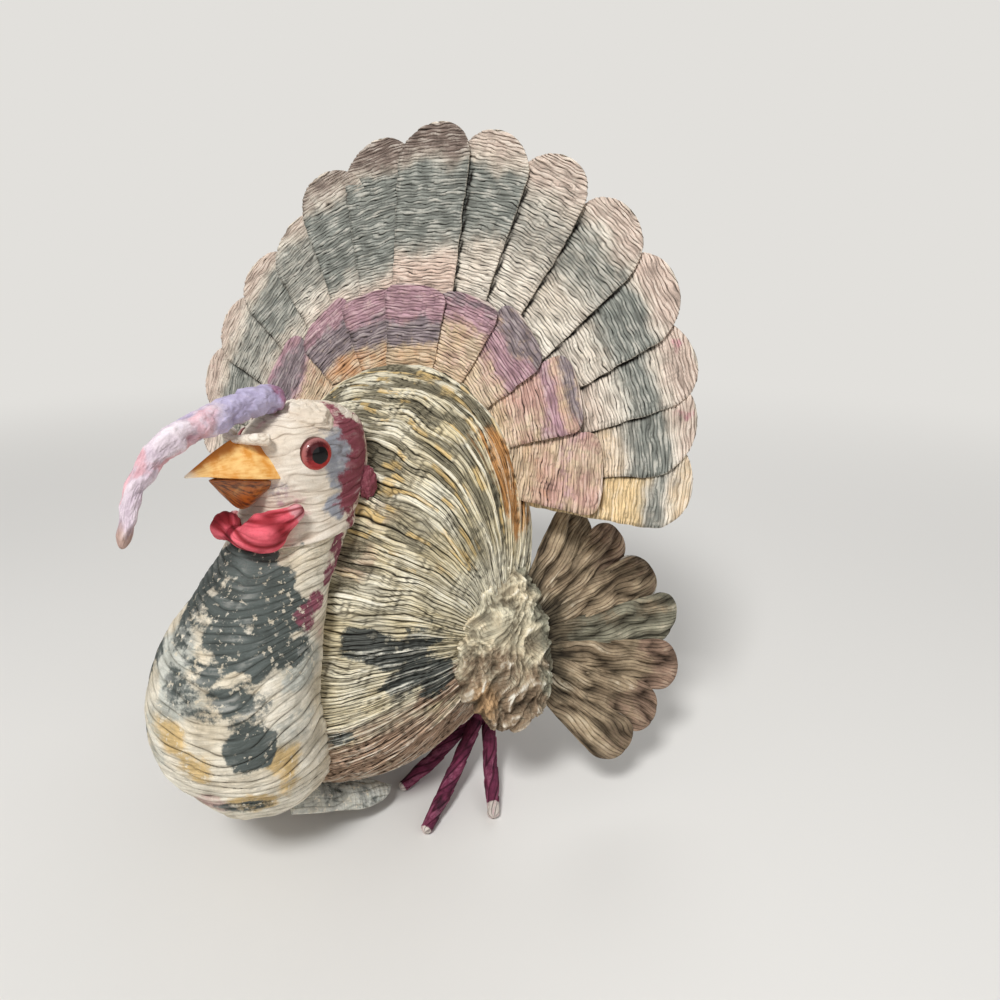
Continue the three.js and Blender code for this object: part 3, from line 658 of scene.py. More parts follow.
headLook = {
    "pale": (242, 233, 218), "deep": (229, 215, 196), "creaseShade": (156, 134, 116), "rubAndHighlight": (255, 251, 243),
    "layers": {
        "blue": ((158, 161, 170), 1.2, 0.2, 0.9),
        "pink": ((220, 164, 170), 0.8, 0.3, 0.85),
        "plum": ((140, 74, 86), 1.2, 0.3, 0.8),
        "slate": ((108, 115, 112), 0.8, 0.36, 0.66),
    },
    "wash": 0.12, "cloudScale": 90, "streak": (14, 70), "crimp": (9, 40), "speckScale": 1000, "speck": 0.04,
    "creaseWidth": 0.22, "creaseShadeDepth": 0.35, "hollowShade": 0.3, "fineCreaseShade": 0.12, "rubAndHighlightStrength": 0.4,
}
headPaint = {
    "blue": [(14, -22, 119, 6, 7, 10, 1.1), (14.5, -24, 111, 5, 6, 5, 0.8), (14.6, -26, 104, 5, 5, 8, 1.0),
             (11, -25, 126, 5, 5, 4, 0.6), (-14, -22, 119, 5, 6, 8, 0.9), (-14.6, -27, 104, 5, 5, 7, 0.8),
             (8, -42, 112, 4, 4, 4, 0.4)],
    "plum": [(12.5, -16, 123, 5, 6, 6, 1.0), (14, -14, 116, 6, 7.5, 8, 1.05), (14.4, -18, 108, 5, 9, 7, 1.05),
             (15, -21.5, 102, 4, 5.5, 5, 0.8), (9.5, -18, 129, 7, 5, 4, 0.6),
             (-12.5, -16, 124, 5, 5, 6, 0.95), (-14, -14, 116, 6, 5, 8, 1.0), (-14.4, -16, 108, 5, 5, 7, 1.0),
             (0, -5, 116, 16, 9, 17, 1.0), (-8, -22, 129, 6, 5, 4, 0.7)],
    "pink": [(9, -22, 129, 9, 7, 4, 1.0), (0, -38, 130, 6, 6, 3, 0.7), (11, -38, 107, 6, 6, 6, 0.4)],
    "slate": [(2, -47, 97, 13, 8, 4, 1.0), (-8, -44, 97, 8, 8, 4, 0.9)],
}


def neckRows(wrap):
    # each ring is a superellipse, |x/a|^p + |y/b|^p = 1, at one height of the outline
    path, gone = roundPath(neck["outline"], neck["pathPoints"])
    keep = (path[:, 0] <= wrap["from"]) & (path[:, 0] >= wrap["to"])
    at = np.linspace(gone[keep][0], gone[keep][-1], wrap["rings"])
    height, front, back, half = (np.interp(at, gone, path[:, i])[:, None] for i in range(4))
    lon = fullTurn(neck["columns"])
    power = 2 / neck["squareness"]
    x = np.maximum(half, neck["least"]) * bulge(np.cos(lon), power)
    y = (front + back) / 2 + np.maximum((back - front) / 2, neck["least"]) * bulge(np.sin(lon), power)
    return together(x, y, height), lon / (2 * np.pi), (at - at[0])[:, None]


def makeWrap(name, wrap, finish, paints):
    # strips wound round and round: pleats lie across the form, sagging by slow noise, with crushed facets
    # between them; folds stand out more below, the breast's top is tucked in and the head's hem stands off
    smooth, turn, gone = neckRows(wrap)
    high = smooth[..., 2]
    seed, facets = wrap["seed"], wrap["facets"]
    sway = sum(drift(turn * cells, gone * rate, own, cells) * far for cells, rate, own, far in wrap["sway"])
    phase = (gone + sway) / wrap["strip"] + wrap["jitter"] * drift(turn * 12, gone / 4, seed + 1, 12)
    finePhase = phase * wrap["fine"] + drift(turn * 14, gone / 3, seed + 3, 14)
    height, lines = pleats(phase, finePhase, turn * wrap["along"], seed + 2)
    crush = crumple(turn * facets, (gone + sway) / wrap["facetLength"], seed + 6, facets)
    height = (1 - wrap["crush"]) * height + wrap["crush"] * crush
    depth = wrap["foldDepth"] * (1 + ease(*neck["deepen"], high)) * ease(0, wrap["start"], gone)
    swell = wrap["swell"] * drift(turn * 9, gone * 0.08, seed + 4, 9)
    tuck = wrap["tuck"] * ease(*neck["tuckIn"], high)
    hem = wrap["hem"] * ease(gone.max() - 4, gone.max(), gone)
    hem = hem * (1 + 0.4 * drift(turn * 12, 0.5, seed + 4, 12))
    lift = (height - 0.62) * depth + swell - tuck + hem
    rows = smooth + outward(smooth) * lift[..., None]
    soak = blot(turn, gone, 9, wrap["soakLength"], seed + 5)
    fields = {key: patches(smooth, spots, soak) for key, spots in paints.items()}
    fields |= {**lines, "crest": height}
    fields["faint"] = 1 - (1 - lines["faint"]) * (1 - wrap["calm"] * ease(*neck["fade"], high))
    sheet = evenSheet(rows, wrap["around"], gone.max())
    shell(name + "_skin", rows, finish, fields, sheet, [name])


breastFinish = paperFinish("breastPaper", breastLook)
headFinish = paperFinish("headPaper", headLook)
makeWrap("breast", breast, breastFinish, breastPaint)
makeWrap("head", head, headFinish, headPaint)
print("breast and head made")


# Feathers: one cut of crepe paper, used for the tail, its coverts and the wings

def wedge(cut, s, length):
    # the width grows evenly from the root to the tip
    share = (s - cut["root"]) / (length - cut["root"])
    return cut["rootWidth"] + (cut["tipWidth"] - cut["rootWidth"]) * share


def featherGrid(cut, length, seed):
    # a wedge with a rounded end: half width grows evenly from root to tip, then closes as the root
    # of 1 - t^p over the last stretch; the ring runs up the face and back down the rear
    m, k = cut["rings"], cut["columns"]
    root, rounding, power = cut["root"], cut["tipRound"], cut["tipPower"]
    straight = length - root - rounding
    share = np.linspace(0, 1, m)
    arc = np.pi / 2
    gone = share * (straight + rounding * arc)
    end = np.clip((gone - straight) / rounding, 0, arc)
    s = root + np.minimum(gone, straight) + rounding * np.sin(end)
    close = np.maximum(1 - np.sin(end) ** power, 0.0004) ** (1 / power)
    lean = drift(share * 2.3, seed * 1.7, 51) * 0.6 * ease(root, length, s)
    half = wedge(cut, s, length) / 2 * close
    t = np.linspace(-1, 1, k)
    ring = np.concatenate([t, t[::-1]])[None, :]
    face = np.concatenate([np.ones(k), -np.ones(k)])[None, :]
    s, half, lean = s[:, None], half[:, None], lean[:, None]
    nibble = 1 + 0.03 * drift(s / 5, ring * 0.5 + np.sign(ring) * 4, seed)
    x = half * ring * nibble + lean
    slant = 3.6 * np.sin(seed * 2.4) * x / cut["tipWidth"] * ease(length - 26, length, s)
    return x, s + slant, ring + 0 * x, face + 0 * x


def tailPlace(x, s, z, angle, roll):
    # turn about the feather's own length by the roll, then round the fan by the angle, then lean back
    rho, theta, lean = np.radians([roll, angle, tail["lean"]])
    flat = x * np.cos(rho) - z * np.sin(rho)
    out = x * np.sin(rho) + z * np.cos(rho)
    across = flat * np.cos(theta) + s * np.sin(theta)
    up = -flat * np.sin(theta) + s * np.cos(theta)
    back = up * np.sin(lean) - out * np.cos(lean)
    return np.stack([across, back, up * np.cos(lean) + out * np.sin(lean)], -1) + tail["pivot"]


def makeFan(fan, look, bands):
    # feathers round one pivot, each rolled to slip under the next one in: the face has pleats across it, a
    # slow wave, rolled sides, and a tip that bends forward with the fourth power of the distance
    finish = paperFinish(fan["finish"], look)
    root = fan["root"]
    for index, feather in enumerate(fan["feathers"]):
        name, angle, length, curl, strength = feather[:5]
        seed = fan["seed"] + index
        side = 0 if name == "center" else np.sign(angle)
        x, s, ring, face = featherGrid(fan, length, seed)
        phase = s / fan["crimpStep"]
        phase = phase + 0.8 * drift(x / 16, s / 8, seed + 60) + 0.6 * drift(x / 4.2, s / 2.2, seed + 61)
        finePhase = phase * 1.8 + drift(x / 6, s / 2, seed + 62)
        height, lines = pleats(phase, finePhase, x / 5.5 + seed * 3.1, seed + 70)
        wave = drift(x / 16 + seed, s / 18, seed + 80) * 0.5
        far = np.clip((s - root) / (length - root), 0, 1)
        bend = curl * far ** 4 + 0.5 * np.abs(ring) ** 3 * drift(s / 14, seed + np.sign(ring) * 3, seed + 90)
        z = bend + wave * far + (height - 0.6) * fan["crimpDepth"] + face * fan["thick"] / 2
        z = z + fan["lift"] + fan["middleLift"] * (side == 0)
        # painted shadow: a dark line along this feather where the next feather in lies over it, as far as its
        # round tip
        inner = fan["feathers"][0 if name.endswith("1") else max(index - 1, 0)]
        spread = np.sin(np.radians(abs(angle - inner[1])))
        over = wedge(fan, s, fan["feathers"][0][2]) / 2 - s * spread
        shown = 1 - ease(inner[2] - 16, inner[2] - 9, s)
        gap = fan["gap"] * abs(side) * np.exp(-((x * side - over) / 0.8) ** 2) * shown * (face > 0)
        broken = 0.45 + 0.75 * ease(-0.3, 0.3, drift(x / 4.5, s / 1.6, seed + 63))
        fading = 1 - 0.5 * ease(length - 15, length - 6, s)
        fields = {
            # the crests are lowered under the painted shadow, which darkens it further and keeps it from
            # being painted pale
            **lines, **bands(x, s, index), "gap": gap, "crest": height * (1 - 0.8 * gap),
            "faint": 1 - (1 - lines["faint"]) * strength * broken * fading,
            # pale cut edges at the sides and the tip, partly a painted highlight
            "rim": np.maximum(0.7 * ease(0.965, 1.0, np.abs(ring)), ease(length - 1.1, length - 0.2, s)),
        }
        shell(fan["piece"] + name, tailPlace(x, s, z, angle, side * fan["shingle"]), finish, fields,
              cutSheet(x, s), [fan["node"] + name])


tail = {
    "piece": "tail_", "node": "tail_feather_", "slot": "tail_paper", "finish": "tailPaper", "seed": 1,
    # gap is the strength of the painted shadow along the next feather in
    "pivot": (0, 28, 105), "lean": 13.4, "lift": 0, "middleLift": 0.9, "shingle": 4.2, "gap": 1,
    "root": 36.0, "tipRound": 14.0, "tipPower": 2.1, "rootWidth": 23.0, "tipWidth": 29.5, "thick": 0.5,
    "rings": 330, "columns": 22, "crimpDepth": 0.8, "crimpStep": 1.08,
    # angle, length, curl of the tip forward, strength of the fold lines, slate band from and to, then
    # strengths: slate, taupe, peach and amber
    "feathers": [
        ("center", -0.8, 110, 0.6, 1, 69, 98, 0.9, 0.95, 0.9, 0),
        ("left_1", 12.6, 108.5, 0.3, 1.1, 74, 97, 0.9, 0.6, 0.3, 0),
        ("left_2", 26.0, 107.5, 0.8, 1.3, 70, 94, 0.5, 0.55, 0.1, 0),
        ("left_3", 41.0, 106.5, 0.4, 1.2, 76, 96, 0.65, 0.5, 0.2, 0),
        ("left_4", 54.2, 105.5, 0.6, 0.9, 76, 95, 0.85, 0.3, 0.4, 0),
        ("left_5", 66.0, 102.5, 0.4, 0.8, 77, 92, 0.85, 0.2, 0.6, 0.2),
        ("left_6", 77.6, 100, 0.8, 0.7, 79, 91, 1.1, 0.1, 0.7, 0.5),
        ("left_7", 88.0, 99, 0.5, 0.3, 85, 92, 1.0, 0.4, 0.6, 1.0),
        ("right_1", -14.4, 109.5, 0.5, 1, 64, 98, 0.9, 0.9, 0.8, 0),
        ("right_2", -26.8, 106.5, 2.6, 1, 66, 96, 0.9, 0.8, 0.7, 0),
        ("right_3", -39.6, 101, 0.4, 1, 70, 95, 0.65, 0.6, 0.5, 0),
        ("right_4", -52.0, 102.5, 0.8, 1, 68, 94, 0.75, 0.5, 0.3, 0),
        ("right_5", -65.4, 104, 0.4, 0.9, 72, 94, 0.65, 0.4, 0.2, 0),
        ("right_6", -79.0, 105, 0.7, 0.9, 74, 94, 0.8, 0.4, 0.2, 0),
        ("right_7", -90.0, 102, 0.5, 0.8, 79, 91, 0.8, 0.3, 0.2, 0.3),
    ],
}
tailLook = {
    "pale": (255, 246, 230), "deep": (242, 227, 208), "creaseShade": (54, 48, 40), "rubAndHighlight": (252, 244, 230),
    "layers": {
        "taupe": ((192, 182, 168), 0.6, 0.1, 1.0),
        "peach": ((244, 216, 198), 0.5, 0.2, 1.0),
        "amber": ((255, 224, 172), 0.5, 0.2, 0.9),
        "slate": ((154, 157, 149), 0.5, 0.2, 0.85),
        "tip": ((228, 204, 188), 0.6, 0.2, 0.9),
        "brown": ((144, 126, 116), 0.6, 0.3, 0.9),
        "blush": ((216, 158, 164), 0.9, 0.5, 1.0),
        # pale cut edges, partly a painted highlight
        "rim": ((240, 226, 208), 0.2, 0.5, 1.0),
        # a painted shadow along the next feather in
        "gap": ((56, 50, 44), 0.2, 0.3, 0.9),
    },
    "brush": 0.12, "wash": 0.3, "cloudScale": 70, "streak": (10, 50), "crimp": (11, 62),
    "creaseWidth": 0.47, "hollowShade": 0.58, "fineCreaseShade": 0.35, "hair": 0.08, "rubAndHighlightStrength": 0.35,
}


def tailBands(x, s, index):
    # soft bands along the feather, their edges pulled about by noise
    low, high, slate, taupe, peach, amber = tail["feathers"][index][5:]
    soak = drift(x / 14, s / 16, index + 300) + 0.5 * drift(x / 5, s / 5, index + 301)
    at = s + 3 * soak
    tip = ease(high - 5, high + 6, at)
    return {
        "slate": slate * ease(low - 10, low + 10, at) * (1 - ease(high - 4, high + 3, at)),
        "taupe": taupe * (0.85 + 0.4 * soak) * ease(62, 76, at),
        "tip": tip * (1 - 0.6 * taupe) * (1 - 0.5 * amber),
        "brown": tip * np.clip(taupe * 1.6 - 0.6, 0, 1),
        "blush": tip * (1 - taupe) * ease(0.1, 0.8, drift(x / 6, s / 5, index + 310)),
        "peach": peach * (1 - ease(low - 8, low + 8, at)) * (1 - 0.8 * taupe * ease(66, 74, at)),
        "amber": amber * (1 - ease(low - 4, low + 4, at) + 0.6 * tip),
    }


makeFan(tail, tailLook, tailBands)
print("tail made")

covert = {
    "piece": "covert_", "node": "tail_covert_", "slot": "covert_paper", "finish": "covertPaper", "seed": 31,
    "lift": 3.3, "middleLift": 0.9, "shingle": 4.2, "gap": 0,
    "root": 27.0, "tipRound": 7.0, "tipPower": 2.8, "rootWidth": 18.0, "tipWidth": 26.0, "thick": 0.5,
    "rings": 190, "columns": 16, "crimpDepth": 0.8, "crimpStep": 1.1,
    # angle, length, curl, strength of the fold lines, then how far below the tip the plum and the dark
    # paint lie, and how strong the rose and the orange are
    "feathers": [
        ("center", -1.0, 57, 0.5, 1, (-4, 15), (11, 21), 0.3, 0.5),
        ("left_1", 22, 58, 0.6, 1, (-4, 10), (0, 4), 0.7, 0.3),
        ("left_2", 44, 62, 0.5, 1, (6, 18), (-4, 8), 0.7, 0.3),
        ("left_3", 66, 68, 0.6, 1, (7, 13), (-2, 4), 1.0, 0.3),
        ("left_4", 88, 73, 0.5, 1, (10, 13), (-9, -7), 0.75, 0.4),
        ("right_1", -22, 58, 0.5, 1, (-4, 14), (9, 20), 0.4, 0.9),
        ("right_2", -44, 62, 0.8, 1, (-4, 12), (6, 20), 0.4, 1.0),
        ("right_3", -66, 68, 0.6, 1, (-4, 16), (4, 14), 0.5, 0.6),
        ("right_4", -88, 73, 0.5, 1, (4, 12), (-2, 8), 0.6, 0.4),
    ],
}
covertLook = {
    "pale": (246, 224, 194), "deep": (234, 204, 166), "creaseShade": (66, 52, 50), "rubAndHighlight": (252, 240, 228),
    "layers": {
        "rose": ((224, 180, 166), 0.9, 0.2, 0.9),
        "orange": ((226, 172, 126), 0.9, 0.25, 0.9),
        "plum": ((202, 162, 172), 0.9, 0.25, 1.0),
        "dark": ((156, 142, 146), 0.9, 0.25, 0.85),
        # pale cut edges, partly a painted highlight
        "rim": ((240, 222, 208), 0.3, 0.6, 1.2),
    },
    "brush": 0.2, "wash": 0.35, "cloudScale": 80, "streak": (10, 50), "crimp": (11, 62),
    "creaseWidth": 0.46, "hollowShade": 0.58, "fineCreaseShade": 0.35, "hair": 0.08, "rubAndHighlightStrength": 0.2, "bump": 0.4,
}


def covertBands(x, s, index):
    # soft bands counted down from the tip
    length = covert["feathers"][index][2]
    plum, dark, rose, orange = covert["feathers"][index][5:]
    soak = drift(x / 12, s / 12, index + 330) + 0.5 * drift(x / 5, s / 5, index + 331)
    below = length - s + 3 * soak
    return {
        "plum": ease(plum[0] - 3, plum[0] + 3, below) * (1 - ease(plum[1] - 5, plum[1] + 5, below)),
        "dark": 0.85 * ease(dark[0] - 3, dark[0] + 3, below) * (1 - ease(dark[1] - 4, dark[1] + 4, below)),
        "rose": rose * (0.7 + 0.5 * soak) * (1 - ease(18, 36, below)),
        "orange": orange * (0.7 + 0.7 * soak) * ease(14, 24, below),
    }


makeFan(covert, covertLook, covertBands)
print("coverts made")

# Wings: a wad of crumpled paper on each flank and seven feathers out of it
wing = {
    "out": 50.2, "back": 4.0, "height": 55.0, "splay": 38.7, "flare": 26.6,
    "first": -45.0, "step": 15.4, "bow": 1.6, "cup": 2.4, "lump": 2.6,
    "root": 14.0, "tipRound": 9.0, "tipPower": 2.0, "rootWidth": 7.0, "tipWidth": 18.6, "thick": 0.6,
    "shingle": 6.0, "rings": 90, "columns": 76, "crimpDepth": 1.2, "crimpStep": 1.15,
    # length, bend of the tip inwards, twist in degrees at the tip, then strengths: green, rosy tip, pale edge
    "feathers": [
        (54, 1.0, -4, 0.3, 0.2, 0.3), (59, 1.8, 3, 0.0, 0.6, 0.4), (63, 2.0, -2, 0.2, 0.4, 1.0),
        (66, 0.8, 6, 1.0, 0.1, 0.5), (65, 0.5, 2, 0.0, 0.9, 0.2), (60, 1.2, -3, 0.1, 0.7, 0.3),
        (55, 0.8, 3, 0.3, 0.4, 0.5),
    ],
}
wingLook = {
    "pale": (206, 184, 152), "deep": (164, 142, 115), "creaseShade": (58, 48, 36), "rubAndHighlight": (236, 222, 196),
    "layers": {
        "green": ((166, 162, 140), 0.6, 0.3, 0.8),
        "tip": ((188, 156, 134), 0.7, 0.3, 0.8),
        # painted shade at the feathers' roots
        "root": ((112, 100, 80), 0.6, 0.2, 0.9),
        "edge": ((244, 238, 224), 0.4, 0.4, 0.7),
    },
    "wash": 0.5, "cloudScale": 90, "streak": (50, 12), "crimp": (62, 14), "creaseWidth": 0.26,
    "creaseShadeDepth": 0.6, "hollowShade": 1.0, "fineCreaseShade": 0.3, "hair": 0.2, "rubAndHighlightStrength": 0.8, "bump": 0.6,
}
shoulder = {
    "halves": (27.5, 16.5, 8.0),   # half sizes down, back and out
    "up": 2.5, "squareness": 2.2, "fold": 5.2, "lump": 1.4, "crepe": 1.1,
    "rings": 150, "columns": 360, "around": 130, "along": 60,
}
shoulderLook = {
    "pale": (255, 247, 218), "deep": (250, 232, 196), "creaseShade": (58, 48, 32), "rubAndHighlight": (255, 250, 234),
    "layers": {
        "brown": ((164, 140, 114), 0.8, 0.3, 0.9),
        "mist": ((176, 174, 152), 0.8, 0.3, 0.95),
        "peach": ((226, 186, 140), 0.6, 0.3, 0.8),
    },
    "wash": 0.15, "cloudScale": 110, "streak": (40, 20), "crimp": (50, 30), "creaseWidth": 0.3,
    "creaseShadeDepth": 0.7, "hollowShade": 0.8, "fineCreaseShade": 0.0, "hair": 0.15, "rubAndHighlightStrength": 0.95, "bump": 0.6,
}


def wingPlace(side, down, back, out):
    # the wing's own axes: down and out along its hinge line, back along its splay
    splay, flare = np.radians([wing["splay"], wing["flare"]])
    level = np.array([np.cos(splay), -np.sin(splay), 0])
    downAxis = level * np.sin(flare) + np.array([0, 0, -np.cos(flare)])
    backAxis = np.array([np.sin(splay), np.cos(splay), 0])
    outAxis = np.cross(downAxis, backAxis)
    at = np.array([wing["out"], wing["back"], wing["height"]])
    spot = at + down[..., None] * downAxis + back[..., None] * backAxis + out[..., None] * outAxis
    return spot * [side, 1, 1]


def makeWingFeather(name, side, index, finish):
    # a petal with folds along it, bowed along its length, domed towards its rim and twisted at its tip
    length, curl, twist, green, rosy, edge = wing["feathers"][index]
    angle = np.radians(wing["first"] + wing["step"] * index)
    seed = index + (101 if side > 0 else 121)
    x, s, ring, face = featherGrid(wing, length, seed)
    sway = drift(x / 9, s / 14, seed + 60) * 1.8 + drift(x / 4, s / 6, seed + 61) * 0.4
    phase = (x + sway) / wing["crimpStep"]
    height, lines = pleats(phase, phase * 2 + drift(x / 3, s / 5, seed + 62), s / 14 + seed, seed + 70)
    lumps = pillow(drift((x + 0.6 * sway) / 6, s / 18, seed + 72), 1.3)
    crush = crumple((x + sway) / 3.0, s / 6.5 + seed, seed + 75)
    far = np.clip((s - wing["root"]) / (length - wing["root"]), 0, 1)
    width = wing["rootWidth"] + (wing["tipWidth"] - wing["rootWidth"]) * far
    past = np.clip((s - length) / wing["tipRound"] + 1, 0, 1)
    rimward = np.clip(np.hypot(2 * x / width, past), 0, 1)
    relief = (lumps - 0.6) * wing["lump"] * ease(0.1, 0.5, far)
    relief = relief + (0.5 * height + 1.5 * crush - 1.1) * wing["crimpDepth"]
    z = -wing["bow"] * np.sin(far * np.pi) - curl * far ** 3 - wing["cup"] * rimward ** 2.5 * far
    z = z + (1 - 0.85 * rimward ** 6) * relief + face * wing["thick"] / 2
    roll = np.radians(wing["shingle"] + twist * far ** 2)
    flat = x * np.cos(roll) + z * np.sin(roll)
    out = -x * np.sin(roll) + z * np.cos(roll)
    down = s * np.sin(angle) + flat * np.cos(angle)
    back = s * np.cos(angle) - flat * np.sin(angle)
    soak = drift(x / 8, s / 12, seed + 85)
    fields = {
        **lines, "crest": height * 0.25 + crush * 0.35 + lumps * 0.4,
        # painted shade at the root, fading out between about 16 and 36 mm along
        "root": 1 - ease(16, 36, s + 6 * soak),
        "green": green * (0.85 + 0.5 * soak),
        "tip": rosy * ease(length - 26, length - 6, s + 6 * soak),
        "edge": edge * ease(0.9, 0.99, np.abs(ring)) * ease(length - 16, length - 8, s),
    }
    shell(f"{name}_wing_{index + 1}", wingPlace(side, down, back, out), finish, fields, cutSheet(x, s),
          [f"{name}_wing_feather_{index + 1}"])


def makeShoulder(name, side, finish):
    # a boxy egg hung with crushed paper: long facets run down it, each with the crepe lines its own way
    ball = globe(shoulder["rings"], shoulder["columns"])[2]
    local = boxy(ball, shoulder["squareness"]) * shoulder["halves"]
    seed = 141 if side > 0 else 151
    u, v = local[..., 0], local[..., 1]
    wander = drift(u / 12, v / 10, seed) * 5
    across, down = (v + 0.5 * u + wander) / 3.4, (u - 0.3 * v - wander) / 6.0
    turned = np.pi * scattered(across, down, seed + 50)[1]
    # three sizes of facets: how much finer across and down, seed, strength
    sizes = ((1, 1, 50, 0.5), (2, 2.4, 54, 0.34), (4.3, 5, 58, 0.16))
    height = sum(part * crumple(across * fx, down * fy, seed + more) for fx, fy, more, part in sizes)
    crepe = np.sin(np.pi * (u * np.cos(turned) + v * np.sin(turned)) / shoulder["crepe"])
    lumps = pillow(drift((v + 0.5 * u) / 9, (u - wander) / 10, seed + 3), 1.2)
    push = (height - 0.5) * shoulder["fold"] + (lumps - 0.65) * shoulder["lump"]
    crushed = local + outward(local) * push[..., None]
    rows = wingPlace(side, crushed[..., 0] - shoulder["up"], crushed[..., 1], crushed[..., 2])
    soak = drift(u / 9, v / 9, seed + 4)
    fields = {
        "wave": crepe, "fine": 1, "faint": 0.45 + 0.5 * drift(u / 5, v / 5, seed + 8),
        "crest": ease(0.25, 0.8, height) * 0.8 + lumps * 0.2,
        "peach": np.exp(-((v + 9) / 4) ** 2 - ((u - 17) / 7) ** 2),
        "brown": 0.85 * ease(-6, 14, u + 8 * soak),
        "mist": 0.8 * ease(5, 13, v + 6 * drift(u / 7, v / 7, seed + 5)),
    }
    sheet = evenSheet(rows, shoulder["around"], shoulder["along"])
    shell(f"{name}_shoulder", rows, finish, fields, sheet, [f"{name}_wing_pad"])


wingFinish = paperFinish("wingPaper", wingLook)
shoulderFinish = paperFinish("padPaper", shoulderLook)
for name, side in sides.items():
    for index in range(len(wing["feathers"])):
        makeWingFeather(name, side, index, wingFinish)
    makeShoulder(name, side, shoulderFinish)
print("wings made")


# Round pieces: a ring carried along a path, its radius changing on the way

def tubeField(spec, knots, relief, radius, lift=(0, 0, 1)):
    # rings square to the path, set out from a side direction that stays square to `lift`: relief gives
    # heights and fold lines, radius the thickness with them, and both ends close on quarter circles
    path, gone = roundPath(knots, spec["rings"])
    gone = gone[:, None]
    share = gone / gone.max()
    lon = fullTurn(spec["columns"])
    turn = lon / (2 * np.pi)
    ahead = unit(np.gradient(path, axis=0))
    sideways = unit(np.cross(ahead, np.array(lift, float)))
    upward = np.cross(sideways, ahead)
    height, lines = relief(share, gone, turn)
    inward = np.clip(np.minimum(gone, gone.max() - gone) / spec["end"], 0, 1)
    r = radius(share, gone, turn, height) * np.sqrt(1 - (1 - inward) ** 2 + 0.0004)
    spokes = np.cos(lon)[..., None] * sideways[:, None] + np.sin(lon)[..., None] * upward[:, None]
    rows = path[:, None] + r[..., None] * spokes
    sheet = evenSheet(rows, spec["around"], spec.get("along", gone.max()))
    return rows, sheet, {**lines, "crest": height}, gone, turn


snood = {
    "root": (0, -33, 134.24),
    "arch": [(0, 3.6, -1.2), (0, 0, 0), (0, -8.5, 0.4), (0, -21.5, -2.2), (0, -33.5, -5),
             (0, -42.5, -12.5), (0, -48.5, -26)],
    "radius": 4.3, "tipRadius": 1.8, "end": 4.3, "twist": 0.012, "lump": 0.8,
    "rings": 280, "columns": 110, "around": 28, "lift": (0, 0.3, 1),
}
snoodLook = {
    "pale": (246, 232, 238), "deep": (232, 214, 226), "creaseShade": (122, 98, 124), "rubAndHighlight": (254, 248, 250),
    "layers": {
        "blue": ((204, 196, 226), 0.8, 0.25, 0.85),
        "rose": ((246, 196, 202), 0.8, 0.25, 0.85),
        "tan": ((204, 174, 160), 0.6, 0.3, 0.9),
        "plum": ((166, 116, 142), 0.7, 0.4, 0.9),
    },
    "wash": 0.12, "cloudScale": 120, "streak": (40, 40), "crimp": (40, 30), "speck": 0.15,
    "creaseWidth": 0.3, "creaseShadeDepth": 0.3, "hollowShade": 0.72, "fineCreaseShade": 0.0, "hair": 0.06, "rubAndHighlightStrength": 0.7,
}


def makeSnood():
    # a tapering tube of crumpled paper: facets wind slowly round it, with finer ones over them
    def relief(share, gone, turn):
        wound = turn + gone * snood["twist"]
        big = crumple(wound * 4, gone / 7, 161, 4)
        return 0.16 + 0.54 * big + 0.3 * crumple(wound * 9, gone / 2.8, 165, 9), {"wave": 1, "fine": 1}

    def radius(share, gone, turn, height):
        base = snood["radius"] + (snood["tipRadius"] - snood["radius"]) * ease(0.3, 1, share)
        return base * (1 + snood["lump"] * (height - 0.7))

    knots = np.array(snood["root"]) + np.array(snood["arch"])
    rows, sheet, fields, gone, turn = tubeField(snood, knots, relief, radius, snood["lift"])
    soak = blot(turn, gone, 2, 12, 163)
    fields |= {
        "blue": 1 - ease(10, 44, gone + 18 * soak),
        "rose": (0.3 + 0.7 * ease(16, 40, gone)) * ease(-0.1, 0.4, soak),
        "tan": ease(50, 68, gone + 8 * soak),
        "plum": 0.8 * (1 - ease(2, 7, gone + 4 * soak)),
    }
    finish = paperFinish("snoodPaper", snoodLook)
    shell("snood_skin", rows, finish, fields, sheet, ["snood"], "snood")


makeSnood()

wattle = {
    "knots": [(13.6, -38.3, 107.8), (11.5, -43.5, 105), (8, -47.5, 102.4), (3.5, -49.5, 101),
              (-0.5, -49.6, 101.2), (-4.6, -48.6, 102.4), (-9, -44.5, 101), (-12.5, -38, 101)],
    # lobes: where along the strip, how far they reach, how much they swell it
    "lobes": [(0.3, 0.17, 3.7), (0.65, 0.065, 2.5)],
    "end": 1.9, "fold": 0.3, "sharp": 1.3, "pinch": 0.53, "rings": 180, "columns": 110, "around": 28,
}
wattleLook = {
    "pale": (252, 120, 134), "deep": (236, 98, 114), "creaseShade": (150, 44, 58), "rubAndHighlight": (250, 156, 164),
    "layers": {"dark": ((150, 40, 56), 0.5, 0.3, 0.9), "worn": ((238, 170, 176), 0.8, 0.35, 0.75)},
    "cloudScale": 160, "streak": (60, 60), "crimp": (30, 20), "speckScale": 800,
    "creaseWidth": 0.4, "creaseShadeDepth": 0.8, "hollowShade": 0.4,
}


def makeWattle():
    # a strip of paper drawn in at the throat: thick at two lobes, with smooth folds along it
    def relief(share, gone, turn):
        wide = drift(turn * 4 + share * 3, share * 2.4, 171, 4)
        return crinkle(wide, drift(turn * 9 + share * 5, share * 6, 172, 9), wattle["sharp"])

    def radius(share, gone, turn, height):
        swells = (swell * np.exp(-((share - at) / reach) ** 2) for at, reach, swell in wattle["lobes"])
        return (wattle["end"] + sum(swells)) * (1 + wattle["fold"] * (height - 0.7))

    rows, sheet, fields, gone = tubeField(wattle, wattle["knots"], relief, radius)[:4]
    share = gone / gone.max()
    fields["dark"] = np.exp(-((share - wattle["pinch"]) / 0.05) ** 2)
    fields["worn"] = 1 - ease(0.03, 0.17, np.minimum(share, 1 - share))
    finish = paperFinish("wattlePaper", wattleLook)
    shell("wattle_skin", rows, finish, fields, sheet, ["wattle"])


makeWattle()

